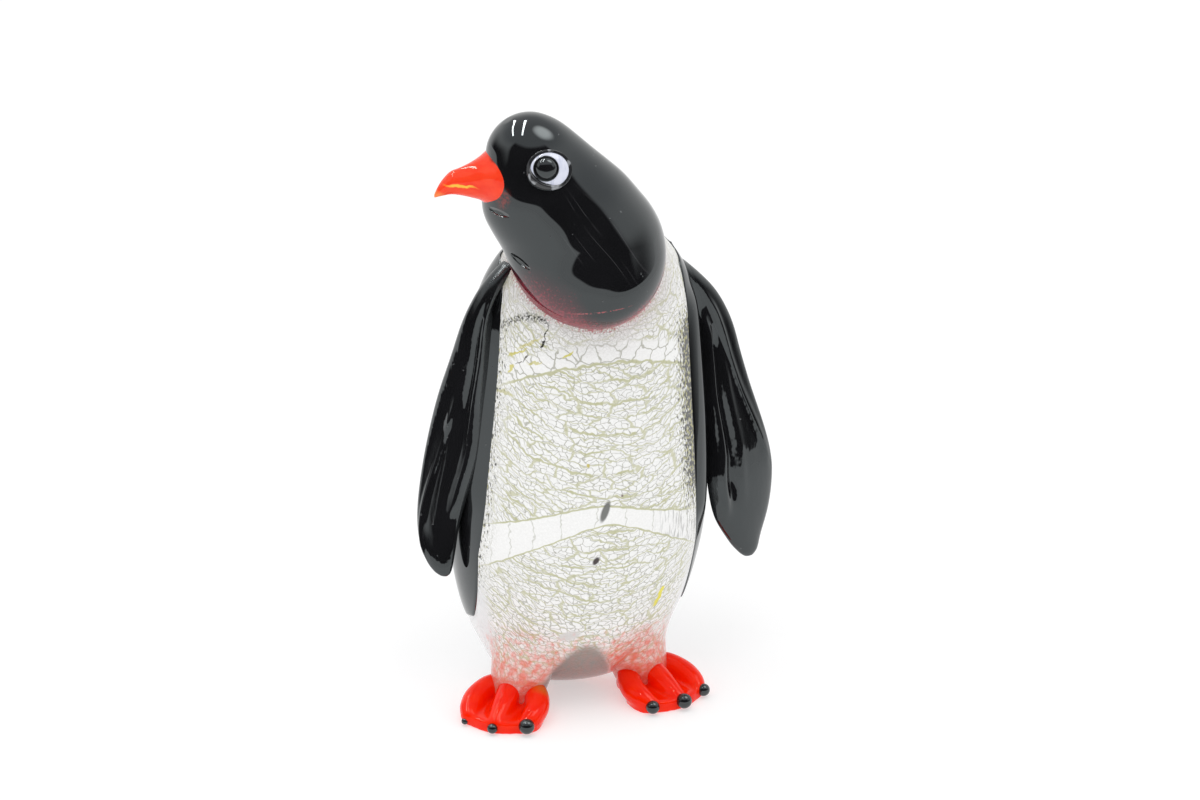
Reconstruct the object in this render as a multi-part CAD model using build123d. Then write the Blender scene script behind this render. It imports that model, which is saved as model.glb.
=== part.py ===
from build123d import *
import os
from math import atan2, cos, degrees, radians, sin

# A solid glass penguin ornament, hot-worked from separate gathers that are fused face to face.
# Millimetres. The figure looks along -Y with its left hand at +X; +Z is up and the table is Z = 0.

# Body: a stack of ellipses, from the underside to the top that the hood covers
BODY_WIDTH = 51.2
BODY_DEPTH = 43.0
BODY_HEIGHT = 95.0
BODY_BASE = 2.0
BODY_SWAY = 4.4
SWAY_REST_SHARE = 0.5
# Each row: height, width and depth as shares of the body, and set-back as a share of its depth
BODY_LEVEL_SHARES = (
    (0.000, 0.38, 0.34, 0.08),
    (0.012, 0.51, 0.48, 0.07),
    (0.035, 0.62, 0.60, 0.06),
    (0.075, 0.70, 0.71, 0.04),
    (0.130, 0.80, 0.82, 0.02),
    (0.190, 0.88, 0.91, 0.01),
    (0.260, 0.945, 0.97, 0.00),
    (0.340, 0.99, 1.00, -0.01),
    (0.430, 1.00, 0.985, -0.01),
    (0.550, 0.975, 0.93, 0.00),
    (0.690, 0.92, 0.85, 0.01),
    (0.800, 0.865, 0.775, 0.02),
    (0.860, 0.795, 0.705, 0.02),
    (0.900, 0.72, 0.635, 0.02),
    (0.935, 0.63, 0.555, 0.02),
    (0.967, 0.505, 0.45, 0.02),
    (1.000, 0.28, 0.27, 0.02),
)

# Layers of the body: clear core, leaf wrapped round it, then the clear casing and the black cape
CASING_THICKNESS = 1.4
LEAF_THICKNESS = 0.3
LEAF_BASE_MARGIN = 5.0
LEAF_TOP_MARGIN = 7.0
WINDOW_TOP_WIDTH = 31.0
WINDOW_WAIST_WIDTH = 38.0
WINDOW_WAIST_RISE = 63.0
WINDOW_BASE_WIDTH = 45.0
CAPE_HEM_FRONT_RISE = 22.0
CAPE_HEM_BACK_RISE = 6.0

# Hood: neck and head in one leaning bulb, a stack of ovals along its axis
HOOD_DIAMETER = 29.2
HOOD_LENGTH = 44.8
HOOD_LEAN = 30.0
HOOD_TURN = 90.0
NECK_SIDE = 0.35
NECK_FORWARD = 7.2
NECK_SINK = 4.1
NECK_SHARE = 0.326
HEAD_SHARE = 0.817
# Each row: place along the axis, then reach to the face, to the nape and to each side, as shares
# of half the hood's diameter
HOOD_LEVEL_SHARES = (
    (0.000, 0.09, 0.09, 0.12),
    (0.008, 0.23, 0.23, 0.31),
    (0.035, 0.455, 0.455, 0.60),
    (0.090, 0.695, 0.695, 0.84),
    (0.170, 0.88, 0.88, 1.00),
    (0.260, 0.98, 0.98, 1.04),
    (0.350, 0.995, 1.00, 1.02),
    (0.440, 0.965, 0.965, 0.955),
    (0.533, 0.925, 0.915, 0.865),
    (0.620, 0.92, 0.83, 0.78),
    (0.700, 0.895, 0.745, 0.70),
    (0.770, 0.80, 0.675, 0.635),
    (0.850, 0.625, 0.59, 0.57),
    (0.906, 0.50, 0.50, 0.495),
    (0.955, 0.375, 0.375, 0.375),
    (0.985, 0.23, 0.23, 0.23),
    (1.000, 0.08, 0.08, 0.08),
)

# Beak: upright oval sections that start inside the head and run out past the face
BEAK_LENGTH = 7.8
BEAK_HEIGHT = 11.4
BEAK_WIDTH = 12.4
BEAK_DROP = 6.6
# Each row: reach past the face, drop, height and width as shares of the beak
BEAK_SECTION_SHARES = (
    (-0.80, 0.66, 1.34, 1.30),
    (-0.52, 0.64, 1.20, 1.12),
    (-0.36, 0.61, 1.02, 0.96),
    (-0.12, 0.57, 0.725, 0.66),
    (0.12, 0.60, 0.573, 0.51),
    (0.365, 0.62, 0.455, 0.40),
    (0.61, 0.65, 0.37, 0.31),
    (0.85, 0.82, 0.22, 0.19),
    (1.00, 1.00, 0.05, 0.055),
)

# Eyes: on each side of the head, a clear rim round a white dome that carries a black bead
EYE_BELOW_HEAD = 1.2
EYE_BACK_ANGLE = 10.0
EYE_RIM_DIAMETER = 8.6
EYE_RIM_RISE = 0.5
EYE_WHITE_DIAMETER = 7.2
EYE_WHITE_RISE = 1.4
EYE_WHITE_BALL_DIAMETER = 15.0
PUPIL_DIAMETER = 4.8
PUPIL_RISE = 0.9
PUPIL_SHIFT = 0.8

# Wings: a stack of flat ovals that hangs from the shoulder and follows the flank
WING_CHORD = 14.6
WING_THICKNESS = 5.0
RIGHT_WING_DROP = 7.0
RIGHT_WING_LENGTH = 62.6
LEFT_WING_DROP = 9.5
LEFT_WING_LENGTH = 63.8
# Each row: drop as a share of the wing, angle round the body from the front, stand-off from the
# flank, chord and thickness as shares, and the angle of the chord out from the flank
RIGHT_WING_SHARES = (
    (0.000, 74.0, -0.07, 0.26, 0.72, 36.0),
    (0.076, 72.0, 0.06, 0.31, 0.90, 40.0),
    (0.257, 73.0, 0.09, 0.46, 1.00, 39.0),
    (0.414, 75.2, 0.127, 0.63, 1.00, 37.0),
    (0.574, 76.2, 0.155, 0.73, 1.00, 36.0),
    (0.704, 77.5, 0.205, 0.71, 1.00, 34.5),
    (0.804, 78.5, 0.237, 0.66, 0.95, 33.5),
    (0.888, 79.0, 0.25, 0.57, 0.84, 33.0),
    (0.952, 79.0, 0.248, 0.40, 0.64, 33.0),
    (1.000, 78.5, 0.23, 0.16, 0.34, 33.5),
)
LEFT_WING_SHARES = (
    (0.000, 90.0, -0.14, 0.34, 0.80, 40.0),
    (0.095, 90.0, 0.05, 0.48, 0.92, 55.0),
    (0.210, 90.0, 0.19, 0.60, 1.00, 62.0),
    (0.330, 90.0, 0.25, 0.72, 1.00, 64.0),
    (0.445, 90.0, 0.31, 0.86, 1.00, 65.0),
    (0.610, 90.0, 0.45, 1.02, 1.00, 65.0),
    (0.720, 90.0, 0.55, 1.00, 1.00, 65.0),
    (0.835, 90.0, 0.65, 0.79, 0.90, 65.0),
    (0.930, 90.0, 0.74, 0.49, 0.70, 65.0),
    (1.000, 90.0, 0.86, 0.16, 0.34, 65.0),
)

# Legs and feet: each foot has its own place and turn, as the maker set it
# Ankles: shares of the body's half width and half depth
RIGHT_ANKLE_SIDE_SHARE = 0.578
RIGHT_ANKLE_FORWARD_SHARE = 0.428
RIGHT_FOOT_TURN = 30.0
LEFT_ANKLE_SIDE_SHARE = 0.449
LEFT_ANKLE_FORWARD_SHARE = 0.279
LEFT_FOOT_TURN = 25.0
LEG_FOOT_DIAMETER = 10.4
LEG_BODY_DIAMETER = 16.5
LEG_RISE = 15.0
LEG_INSET_SHARE = 0.70
FOOT_LENGTH = 13.4
FOOT_WIDTH = 16.4
FOOT_RISE = 7.0
WEB_THICKNESS = 1.8
TOE_DIAMETER = 4.2
HEEL_RADIUS = 5.4
# Web outline after the heel: forward share of the foot's length, side share of half its width
WEB_SHARES = ((-0.22, 0.52), (0.10, 0.70), (0.42, 0.96), (0.76, 0.94), (0.92, 0.52))
# Toe routes: forward share of the length, side share of half the width, share of the rise
MIDDLE_TOE_SHARES = ((0.14, 0.00, 0.70), (0.52, 0.00, 0.52), (0.86, 0.00, 0.26))
SIDE_TOE_SHARES = ((0.06, 0.36, 0.56), (0.36, 0.78, 0.46), (0.72, 0.78, 0.26))

# Claws: glass beads that differ in size, at the end of each toe
CLAW_DIAMETER = 3.2
CLAW_CLEARANCE = 0.3
RIGHT_CLAW_SHARES = {"outer": 0.44, "middle": 0.66, "inner": 1.00}
LEFT_CLAW_SHARES = {"inner": 0.88, "middle": 1.00, "outer": 0.84}

# Tail: a short tab behind the underside that shares the table with the feet
TAIL_WIDTH = 17.0
TAIL_THICKNESS = 8.0
TAIL_RISE = 14.0
TAIL_SINK = 7.5
TAIL_LEAN = 9.2
# Each row: height, lean to the back, width and thickness as shares of the tail
TAIL_SECTION_SHARES = (
    (1.00, 0.00, 0.80, 1.00),
    (0.62, 0.40, 1.00, 1.00),
    (0.30, 0.75, 0.90, 0.86),
    (0.00, 1.00, 0.66, 0.70),
)

# Overrun of every cutting solid past what it cuts
OVERRUN = 2.0

UP = Vector(0, 0, 1)


def between(rows, share):
    """Values of a table at a share of its first column, straight between its rows."""
    upper = next((i for i, row in enumerate(rows) if i and row[0] >= share), len(rows) - 1)
    low, high = rows[upper - 1], rows[upper]
    part = min(max((share - low[0]) / (high[0] - low[0]), 0), 1)
    return [a + (b - a) * part for a, b in zip(low[1:], high[1:])]


def body_sway(share):
    """Side shift of the body's axis at a share of its height."""
    return BODY_SWAY * (share - SWAY_REST_SHARE)


def body_level(height):
    """Half width, half depth, side shift and set-back of the body at a height."""
    share = (height - BODY_BASE) / BODY_HEIGHT
    width, depth, back = between(BODY_LEVEL_SHARES, share)
    return width * BODY_WIDTH / 2, depth * BODY_DEPTH / 2, body_sway(share), back * BODY_DEPTH


def body_solid(inset):
    """The body with its surface drawn in by an even inset."""
    sections = []
    for height, width, depth, back in BODY_LEVEL_SHARES:
        level = BODY_BASE + inset + height * (BODY_HEIGHT - 2 * inset)
        oval = Ellipse(width * BODY_WIDTH / 2 - inset, depth * BODY_DEPTH / 2 - inset)
        sections.append(Pos(body_sway(height), back * BODY_DEPTH, level) * oval)
    return loft(sections)


def window_block():
    """The waisted block in front of the axis that the cape leaves open."""
    levels = (
        (0, BODY_BASE - OVERRUN, WINDOW_BASE_WIDTH),
        (WINDOW_WAIST_RISE / BODY_HEIGHT, BODY_BASE + WINDOW_WAIST_RISE, WINDOW_WAIST_WIDTH),
        (1, BODY_BASE + BODY_HEIGHT + OVERRUN, WINDOW_TOP_WIDTH),
    )
    left = [(body_sway(share) + width / 2, level) for share, level, width in levels]
    right = [(body_sway(share) - width / 2, level) for share, level, width in reversed(levels)]
    front = Plane.XZ * Polygon(*left, *right, align=None)
    return extrude(front, BODY_WIDTH + BODY_DEPTH, dir=(0, -1, 0))


def cape_region():
    """Everything behind the window and above the sloping hem."""
    span = 2 * (BODY_WIDTH + BODY_HEIGHT)
    slope = degrees(atan2(CAPE_HEM_FRONT_RISE - CAPE_HEM_BACK_RISE, BODY_DEPTH))
    middle = BODY_BASE + (CAPE_HEM_FRONT_RISE + CAPE_HEM_BACK_RISE) / 2
    block = Box(span, span, span, align=(Align.CENTER, Align.CENTER, Align.MIN))
    return Pos(0, 0, middle) * Rot(-slope, 0, 0) * block - window_block()


def body_layers(body):
    """Core, leaf, casing and cape, which fill the body without a gap."""
    inside = body_solid(CASING_THICKNESS)
    heart = body_solid(CASING_THICKNESS + LEAF_THICKNESS)
    span = 2 * (BODY_WIDTH + BODY_DEPTH)
    tall = BODY_HEIGHT - LEAF_BASE_MARGIN - LEAF_TOP_MARGIN
    band = Box(span, span, tall, align=(Align.CENTER, Align.CENTER, Align.MIN))
    leaf = (inside - heart) & Pos(0, 0, BODY_BASE + LEAF_BASE_MARGIN) * band
    shell = body - inside
    region = cape_region()
    return {
        "glass_core": inside - leaf,
        "silver_leaf": leaf,
        "clear_casing": shell - region,
        "black_cape": shell & region,
    }


def facing():
    """Level direction that the head looks in, turned from -Y to the figure's right."""
    turn = radians(HOOD_TURN)
    return Vector(-sin(turn), -cos(turn), 0)


def hood_axis():
    """Direction of the leaning axis, up from the neck to the head."""
    lean = radians(HOOD_LEAN)
    return facing() * sin(lean) + UP * cos(lean)


def hood_point(share):
    """Point on the leaning axis at a share of the hood's length."""
    neck = Vector(NECK_SIDE, -NECK_FORWARD, BODY_BASE + BODY_HEIGHT - NECK_SINK)
    return neck + hood_axis() * ((share - NECK_SHARE) * HOOD_LENGTH)


def hood_solid(grow):
    """The hood with its surface moved out by an even amount."""
    axis = hood_axis()
    across = facing().cross(UP)
    face = across.cross(axis) * -1
    sections = []
    for share, to_face, to_nape, to_side in HOOD_LEVEL_SHARES:
        front, rear, side = (r * HOOD_DIAMETER / 2 + grow for r in (to_face, to_nape, to_side))
        middle = hood_point(share) + axis * (grow * (2 * share - 1)) + face * ((front - rear) / 2)
        sections.append(Plane(middle, x_dir=across, z_dir=axis) * Ellipse(side, (front + rear) / 2))
    return loft(sections)


def beak_solid():
    """The hooked beak, before the hood is taken from it."""
    ahead = facing()
    face = between(HOOD_LEVEL_SHARES, HEAD_SHARE)[0] * HOOD_DIAMETER / 2
    sections = []
    for reach, drop, height, width in BEAK_SECTION_SHARES:
        middle = hood_point(HEAD_SHARE) + ahead * (face + reach * BEAK_LENGTH) - UP * (drop * BEAK_DROP)
        oval = Ellipse(width * BEAK_WIDTH / 2, height * BEAK_HEIGHT / 2)
        sections.append(Plane(middle, x_dir=ahead.cross(UP), z_dir=ahead) * oval)
    return loft(sections)


def hood_side(share):
    """Reach of the hood's side at a share of its length."""
    return between(HOOD_LEVEL_SHARES, share)[2] * HOOD_DIAMETER / 2


def eye_seat(side):
    """Point and outward direction of one eye on the side of the head."""
    axis = hood_axis()
    across = facing().cross(UP) * -side
    face = across.cross(axis) * side
    share = HEAD_SHARE - EYE_BELOW_HEAD / HOOD_LENGTH
    half = EYE_WHITE_DIAMETER / 2 / HOOD_LENGTH
    slope = atan2(hood_side(share - half) - hood_side(share + half), EYE_WHITE_DIAMETER)
    back = radians(EYE_BACK_ANGLE)
    radial = across * cos(back) - face * sin(back)
    return hood_point(share) + radial * hood_side(share), radial * cos(slope) + axis * sin(slope)


def eye_parts(name, side, hood, skin):
    """Rim, white and pupil of one eye (side +1 is the head's left); skin is the grown hood."""
    seat, out = eye_seat(side)
    place = Plane(seat, z_dir=out)
    rim_disc = place * Cylinder(EYE_RIM_DIAMETER / 2, EYE_RIM_DIAMETER)
    white_disc = place * Cylinder(EYE_WHITE_DIAMETER / 2, EYE_RIM_DIAMETER)
    white_ball = Pos(*(seat + out * (EYE_WHITE_RISE - EYE_WHITE_BALL_DIAMETER / 2)))
    white = white_disc & white_ball * Sphere(EYE_WHITE_BALL_DIAMETER / 2)
    bead = seat + facing() * PUPIL_SHIFT + out * (EYE_WHITE_RISE + PUPIL_RISE - PUPIL_DIAMETER / 2)
    pupil = Plane(bead, z_dir=out) * Sphere(PUPIL_DIAMETER / 2)
    return {
        f"{name}_eye_rim": (rim_disc & skin) - white_disc - hood,
        f"{name}_eye_white": white - hood,
        f"{name}_pupil": pupil - white - hood,
    }


def wing_solid(side, below, length, rows):
    """One wing (side +1 is the figure's left), hung below the body's top, before any cut."""
    top = BODY_BASE + BODY_HEIGHT - below
    sections = []
    for drop, around, stand, chord, thickness, turn in rows:
        height = top - drop * length
        width, depth, sway, back = body_level(height)
        angle, swing = radians(around), radians(turn)
        out = stand * WING_CHORD
        x = sway + side * (width + out) * sin(angle)
        y = back - (depth + out) * cos(angle)
        outward = Vector(side * sin(angle), -cos(angle), 0)
        tangent = Vector(side * cos(angle), sin(angle), 0)
        along = tangent * cos(swing) + outward * sin(swing)
        oval = Ellipse(chord * WING_CHORD / 2, thickness * WING_THICKNESS / 2)
        sections.append(Plane((x, y, height), x_dir=along, z_dir=UP) * oval)
    return loft(sections)


def foot_place(side):
    """Ankle point on the table and the foot's forward and outward directions."""
    if side > 0:
        aside, ahead, turn = LEFT_ANKLE_SIDE_SHARE, LEFT_ANKLE_FORWARD_SHARE, radians(LEFT_FOOT_TURN)
    else:
        aside, ahead, turn = RIGHT_ANKLE_SIDE_SHARE, RIGHT_ANKLE_FORWARD_SHARE, radians(RIGHT_FOOT_TURN)
    ankle = Vector(side * aside * BODY_WIDTH / 2, -ahead * BODY_DEPTH / 2, 0)
    forward = Vector(side * sin(turn), -cos(turn), 0)
    outward = Vector(side * cos(turn), sin(turn), 0)
    return ankle, forward, outward


def leg_solid(side):
    """A tapered stub from the web up into the body."""
    ankle = foot_place(side)[0]
    inner = ankle * LEG_INSET_SHARE
    foot_end = Pos(ankle.X, ankle.Y, WEB_THICKNESS) * Circle(LEG_FOOT_DIAMETER / 2)
    body_end = Pos(inner.X, inner.Y, BODY_BASE + LEG_RISE) * Circle(LEG_BODY_DIAMETER / 2)
    return loft([foot_end, body_end])


def toe_points(side, row_side, rows):
    """Route of one toe; row_side is +1 for the outer toe, -1 for the inner, 0 for the middle."""
    ankle, forward, outward = foot_place(side)
    half = FOOT_WIDTH / 2
    return [
        ankle + forward * (f * FOOT_LENGTH) + outward * (row_side * s * half) + UP * (r * FOOT_RISE)
        for f, s, r in rows
    ]


def toe_solid(points):
    """A round toe along a curve, with a ball at each end."""
    route = Spline(*points)
    disc = Plane(route @ 0, z_dir=route % 0) * Circle(TOE_DIAMETER / 2)
    ends = [Pos(*point) * Sphere(TOE_DIAMETER / 2) for point in (points[0], points[-1])]
    return sweep(disc, path=route) + ends[0] + ends[1]


def web_solid(side):
    """The flat sole: a round heel that widens to the toes."""
    ankle, forward, outward = foot_place(side)
    half = FOOT_WIDTH / 2
    outer = [ankle + forward * (f * FOOT_LENGTH) + outward * (s * half) for f, s in WEB_SHARES]
    inner = [ankle + forward * (f * FOOT_LENGTH) - outward * (s * half) for f, s in WEB_SHARES]
    heel, front = ankle - forward * HEEL_RADIUS, ankle + forward * FOOT_LENGTH
    edge = Spline(heel, *outer, front, *reversed(inner), periodic=True)
    return extrude(make_face(edge), WEB_THICKNESS, dir=(0, 0, 1))


def foot_solid(side):
    """Web and toes in one, cut flat on the table."""
    foot = web_solid(side) + toe_solid(toe_points(side, 0, MIDDLE_TOE_SHARES))
    for row_side in (1, -1):
        foot += toe_solid(toe_points(side, row_side, SIDE_TOE_SHARES))
    return foot - below_table()


def below_table():
    """Everything under the table's plane."""
    span = 2 * (BODY_WIDTH + BODY_DEPTH)
    return Box(span, span, span, align=(Align.CENTER, Align.CENTER, Align.MAX))


def claw_parts(name, side, shares, foot):
    """Three beads, each seated on the end of its toe."""
    routes = {
        "outer": toe_points(side, 1, SIDE_TOE_SHARES),
        "middle": toe_points(side, 0, MIDDLE_TOE_SHARES),
        "inner": toe_points(side, -1, SIDE_TOE_SHARES),
    }
    parts = {}
    for toe, share in shares.items():
        before, end = routes[toe][-2:]
        ahead = Vector(end.X - before.X, end.Y - before.Y, 0).normalized()
        radius = share * CLAW_DIAMETER / 2
        seat = end + ahead * (TOE_DIAMETER / 2)
        place = Plane((seat.X, seat.Y, radius + CLAW_CLEARANCE), z_dir=ahead)
        bead = place * Sphere(radius)
        parts[f"{name}_{toe}_claw"] = bead - foot
    return parts


def tail_solid():
    """The tab, sunk in the body's back, its lower end flat on the table."""
    top = BODY_BASE + TAIL_RISE
    _, depth, sway, back = body_level(top)
    root = back + depth - TAIL_SINK
    sections = []
    for height, lean, width, thickness in TAIL_SECTION_SHARES:
        oval = Ellipse(width * TAIL_WIDTH / 2, thickness * TAIL_THICKNESS / 2)
        sections.append(Pos(sway, root + lean * TAIL_LEAN, height * top) * oval)
    return loft(sections)


def build():
    """Every node of the figure, where it is drawn."""
    body, hood = body_solid(0), hood_solid(0)
    nodes = body_layers(body)
    nodes["hood"] = hood - body
    nodes["beak"] = beak_solid() - hood
    skin = hood_solid(EYE_RIM_RISE)
    nodes.update(eye_parts("left", 1, hood, skin))
    nodes.update(eye_parts("right", -1, hood, skin))
    right_wing = wing_solid(-1, RIGHT_WING_DROP, RIGHT_WING_LENGTH, RIGHT_WING_SHARES)
    left_wing = wing_solid(1, LEFT_WING_DROP, LEFT_WING_LENGTH, LEFT_WING_SHARES)
    nodes["right_wing"] = right_wing - body - hood
    nodes["left_wing"] = left_wing - body - hood
    for name, side, claw_shares in (("right", -1, RIGHT_CLAW_SHARES), ("left", 1, LEFT_CLAW_SHARES)):
        leg, foot = leg_solid(side), foot_solid(side)
        nodes[f"{name}_leg"] = leg - body
        nodes[f"{name}_foot"] = foot - leg - body
        nodes.update(claw_parts(name, side, claw_shares, foot))
    nodes["tail"] = tail_solid() - body
    return nodes


def main():
    """Centre the figure over the origin and write one file per node."""
    nodes = build()
    whole = Compound(children=[Compound(node.solids()) for node in nodes.values()])
    box = whole.bounding_box()
    home = Pos(-box.center().X, -box.center().Y, -box.min.Z)
    print("moved by", home.position, "overall", box.size)
    os.makedirs("parts", exist_ok=True)
    for name, node in nodes.items():
        print(name, "solids", len(node.solids()), "volume", round(node.volume, 1))
        export_step(home * Compound(node.solids()), f"parts/{name}.step")


main()
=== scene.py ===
"""Looks of a fused-glass penguin figurine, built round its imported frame."""

import logging
import math
from bisect import bisect_left
from collections.abc import Callable, Iterable, Sequence
from dataclasses import dataclass, field
from enum import Enum
from functools import reduce

import bmesh
import bpy
from mathutils import Matrix, Vector
from mathutils.bvhtree import BVHTree


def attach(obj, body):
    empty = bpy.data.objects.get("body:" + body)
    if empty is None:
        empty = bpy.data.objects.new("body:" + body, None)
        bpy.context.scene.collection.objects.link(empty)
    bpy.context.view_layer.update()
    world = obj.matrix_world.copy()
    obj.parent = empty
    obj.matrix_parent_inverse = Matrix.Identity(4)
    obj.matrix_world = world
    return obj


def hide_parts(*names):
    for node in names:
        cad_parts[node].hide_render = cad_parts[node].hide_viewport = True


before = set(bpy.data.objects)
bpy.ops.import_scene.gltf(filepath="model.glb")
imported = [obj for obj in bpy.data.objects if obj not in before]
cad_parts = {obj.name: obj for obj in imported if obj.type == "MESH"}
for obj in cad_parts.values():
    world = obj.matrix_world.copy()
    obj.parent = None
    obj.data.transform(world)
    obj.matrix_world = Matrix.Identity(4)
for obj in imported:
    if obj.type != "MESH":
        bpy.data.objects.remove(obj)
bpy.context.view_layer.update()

log = logging.getLogger("penguin")
Row = Sequence[float]
Colour = tuple[float, float, float]
Socket = bpy.types.NodeSocket
Value = float | Socket
Material = bpy.types.Material
BMesh = bmesh.types.BMesh
Bend = Callable[[Vector], Vector]

# Shapes are drawn in millimetres, in the frame of the part's own drawing
MM = 0.001
HOME = Vector((-3.6547, 0.374204, 0.0))
UP = Vector((0.0, 0.0, 1.0))
ORIGIN = (0.0, 0.0, 0.0)
# Angles of the rings that round off a tube's end, and how upright a tube is when its sides turn
CAP_ANGLES = (0.25, 0.6, 1.0, 1.3)
UPRIGHT = 0.95


class Slot(Enum):
    """The record's material slots."""

    CLEAR = "clear_glass"
    LEAF = "silver_leaf"
    BLACK = "black_glass"
    ORANGE = "orange_glass"
    WHITE = "white_glass"
    ROSY = "rosy_glass"


class Named(Enum):
    """Options whose names are part of piece and node names."""

    @property
    def word(self) -> str:
        """The option's name as it stands there."""
        return self.name.lower()


class Side(Named):
    """The figure's own sides, as signs along X."""

    RIGHT = -1
    LEFT = 1


class Toe(Named):
    """A foot's toes, as signs away from the figure's middle."""

    OUTER = 1
    MIDDLE = 0
    INNER = -1


# Shaping


def at_home(x: float, y: float, z: float) -> tuple[float, float, float]:
    """A point of the drawing as a point of the row frame, in metres."""
    return tuple((Vector((x, y, z)) + HOME) * MM)


def spread(rows: Sequence[Row], steps: int) -> list[list[float]]:
    """Adds rows to a table on a smooth curve through its own.

    Args:
        rows: the table.
        steps: how many steps each gap of the table gets.

    Returns:
        The longer table, from the first row to the last.
    """
    last = len(rows) - 1
    longer = []
    for index in range(last):
        a, b, c, d = (rows[min(max(index + k, 0), last)] for k in (-1, 0, 1, 2))
        for step in range(steps):
            t = step / steps
            longer.append([
                0.5 * (2 * q + (r - p) * t + (2 * p - 5 * q + 4 * r - s) * t * t
                       + (3 * q - p - 3 * r + s) * t**3)
                for p, q, r, s in zip(a, b, c, d)
            ])
    longer.append(list(rows[last]))
    return longer


def between(rows: Sequence[Row], key: float) -> list[float]:
    """A table's other columns where its first one reaches a key."""
    upper = min(bisect_left(rows, key, 1, key=lambda row: row[0]), len(rows) - 1)
    low, high = rows[upper - 1], rows[upper]
    part = min(max((key - low[0]) / (high[0] - low[0]), 0.0), 1.0)
    return [a + (b - a) * part for a, b in zip(low[1:], high[1:])]


def ease(low: float, high: float, value: float) -> float:
    """Smooth rise from 0 at low to 1 at high."""
    t = min(max((value - low) / (high - low), 0.0), 1.0)
    return t * t * (3.0 - 2.0 * t)


def bell(value: float, middle: float, width: float) -> float:
    """Smooth hump of height 1 about a middle."""
    return math.exp(-(((value - middle) / width) ** 2))


def stand(origin: Vector, across: Vector, along: Vector, out: Vector) -> Matrix:
    """Matrix whose columns are two sides, a normal and an origin."""
    matrix = Matrix((across, along, out)).transposed().to_4x4()
    matrix.translation = origin
    return matrix


class Loft:
    """A skin over rings of one count, each bridged to the one before."""

    def __init__(self, segments: int) -> None:
        """Starts an empty skin whose rings have this many corners."""
        self.mesh = bmesh.new()
        self.segments = segments
        self.ends: list[list[bmesh.types.BMEdge]] = []

    def ring(self, place: Matrix, shape: Bend | None = None) -> list[bmesh.types.BMVert]:
        """Adds a ring and bridges it to the last one.

        Args:
            place: where the unit circle goes.
            shape: changes a point of the unit circle first.

        Returns:
            The ring's corners.
        """
        made = bmesh.ops.create_circle(self.mesh, segments=self.segments, radius=1.0)["verts"]
        edges = list({edge for vert in made for edge in vert.link_edges})
        for vert in made if shape else ():
            vert.co = shape(vert.co)
        bmesh.ops.transform(self.mesh, matrix=place, verts=made)
        if self.ends:
            bmesh.ops.bridge_loops(self.mesh, edges=self.ends[-1] + edges)
        self.ends = [self.ends[0] if self.ends else edges, edges]
        return made

    def close(self) -> BMesh:
        """Closes both ends with a fan and gives the mesh."""
        caps = [bmesh.ops.contextual_create(self.mesh, geom=end)["faces"] for end in self.ends]
        bmesh.ops.poke(self.mesh, faces=[face for cap in caps for face in cap])
        bmesh.ops.recalc_face_normals(self.mesh, faces=self.mesh.faces)
        return self.mesh


def turned(place: Matrix, profile: Sequence[Row], segments: int, steps: int = 2) -> BMesh:
    """A round solid turned about a place's normal.

    Args:
        place: the foot of the axis, with the axis as its normal.
        profile: radius and height of each ring.
        segments: corners of each ring.
        steps: steps that each gap of the profile gets.

    Returns:
        The closed solid.
    """
    loft = Loft(segments)
    for radius, height in spread(profile, steps):
        lifted = place @ Matrix.Translation((0.0, 0.0, height))
        loft.ring(lifted @ Matrix.Diagonal((radius, radius, 1.0, 1.0)))
    return loft.close()


def tube(mesh: BMesh, route: Sequence[Row], segments: int = 20, steps: int = 6) -> None:
    """Adds a round-ended tube to a mesh.

    Args:
        mesh: takes the tube.
        route: x, y, z and radius of each point.
        segments: corners of each ring.
        steps: steps that each gap of the route gets.
    """
    rows = spread(route, steps)
    loft = Loft(segments)
    points = [Vector(row[:3]) for row in rows]
    last = len(rows) - 1
    ways = [(points[min(i + 1, last)] - points[max(i - 1, 0)]).normalized() for i in range(last + 1)]
    rings = [(0, -math.cos(a), math.sin(a)) for a in CAP_ANGLES]
    rings += [(i, 0.0, 1.0) for i in range(last + 1)]
    rings += [(last, math.cos(a), math.sin(a)) for a in reversed(CAP_ANGLES)]
    for index, ahead, wide in rings:
        way, radius = ways[index], rows[index][3]
        across = way.orthogonal() if abs(way.z) > UPRIGHT else way.cross(UP)
        across.normalize()
        half = wide * radius
        loft.ring(stand(points[index] + way * (ahead * radius), across * half, way.cross(across) * half, way))
    add(mesh, loft.close())


def add(mesh: BMesh, other: BMesh) -> None:
    """Moves another mesh's faces into a mesh."""
    carrier = bpy.data.meshes.new("carrier")
    other.to_mesh(carrier)
    other.free()
    mesh.from_mesh(carrier)
    bpy.data.meshes.remove(carrier)


def fused(mesh: BMesh, voxel: float, rounds: int) -> BMesh:
    """Melts overlapping closed shells into one smooth skin.

    Args:
        mesh: the shells; it is freed.
        voxel: grain of the melt.
        rounds: rounds of smoothing after it.

    Returns:
        The single skin.
    """
    rough = bpy.data.meshes.new("melt")
    mesh.to_mesh(rough)
    mesh.free()
    pot = bpy.data.objects.new("melt", rough)
    bpy.context.scene.collection.objects.link(pot)
    melt = pot.modifiers.new("melt", "REMESH")
    melt.mode, melt.voxel_size = "VOXEL", voxel
    cooled = bpy.data.meshes.new_from_object(pot.evaluated_get(bpy.context.evaluated_depsgraph_get()))
    skin = bmesh.new()
    skin.from_mesh(cooled)
    bpy.data.objects.remove(pot)
    bpy.data.meshes.remove(rough)
    bpy.data.meshes.remove(cooled)
    for _ in range(rounds):
        bmesh.ops.smooth_vert(
            skin, verts=skin.verts, factor=0.5, use_axis_x=True, use_axis_y=True, use_axis_z=True
        )
    return skin


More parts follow.
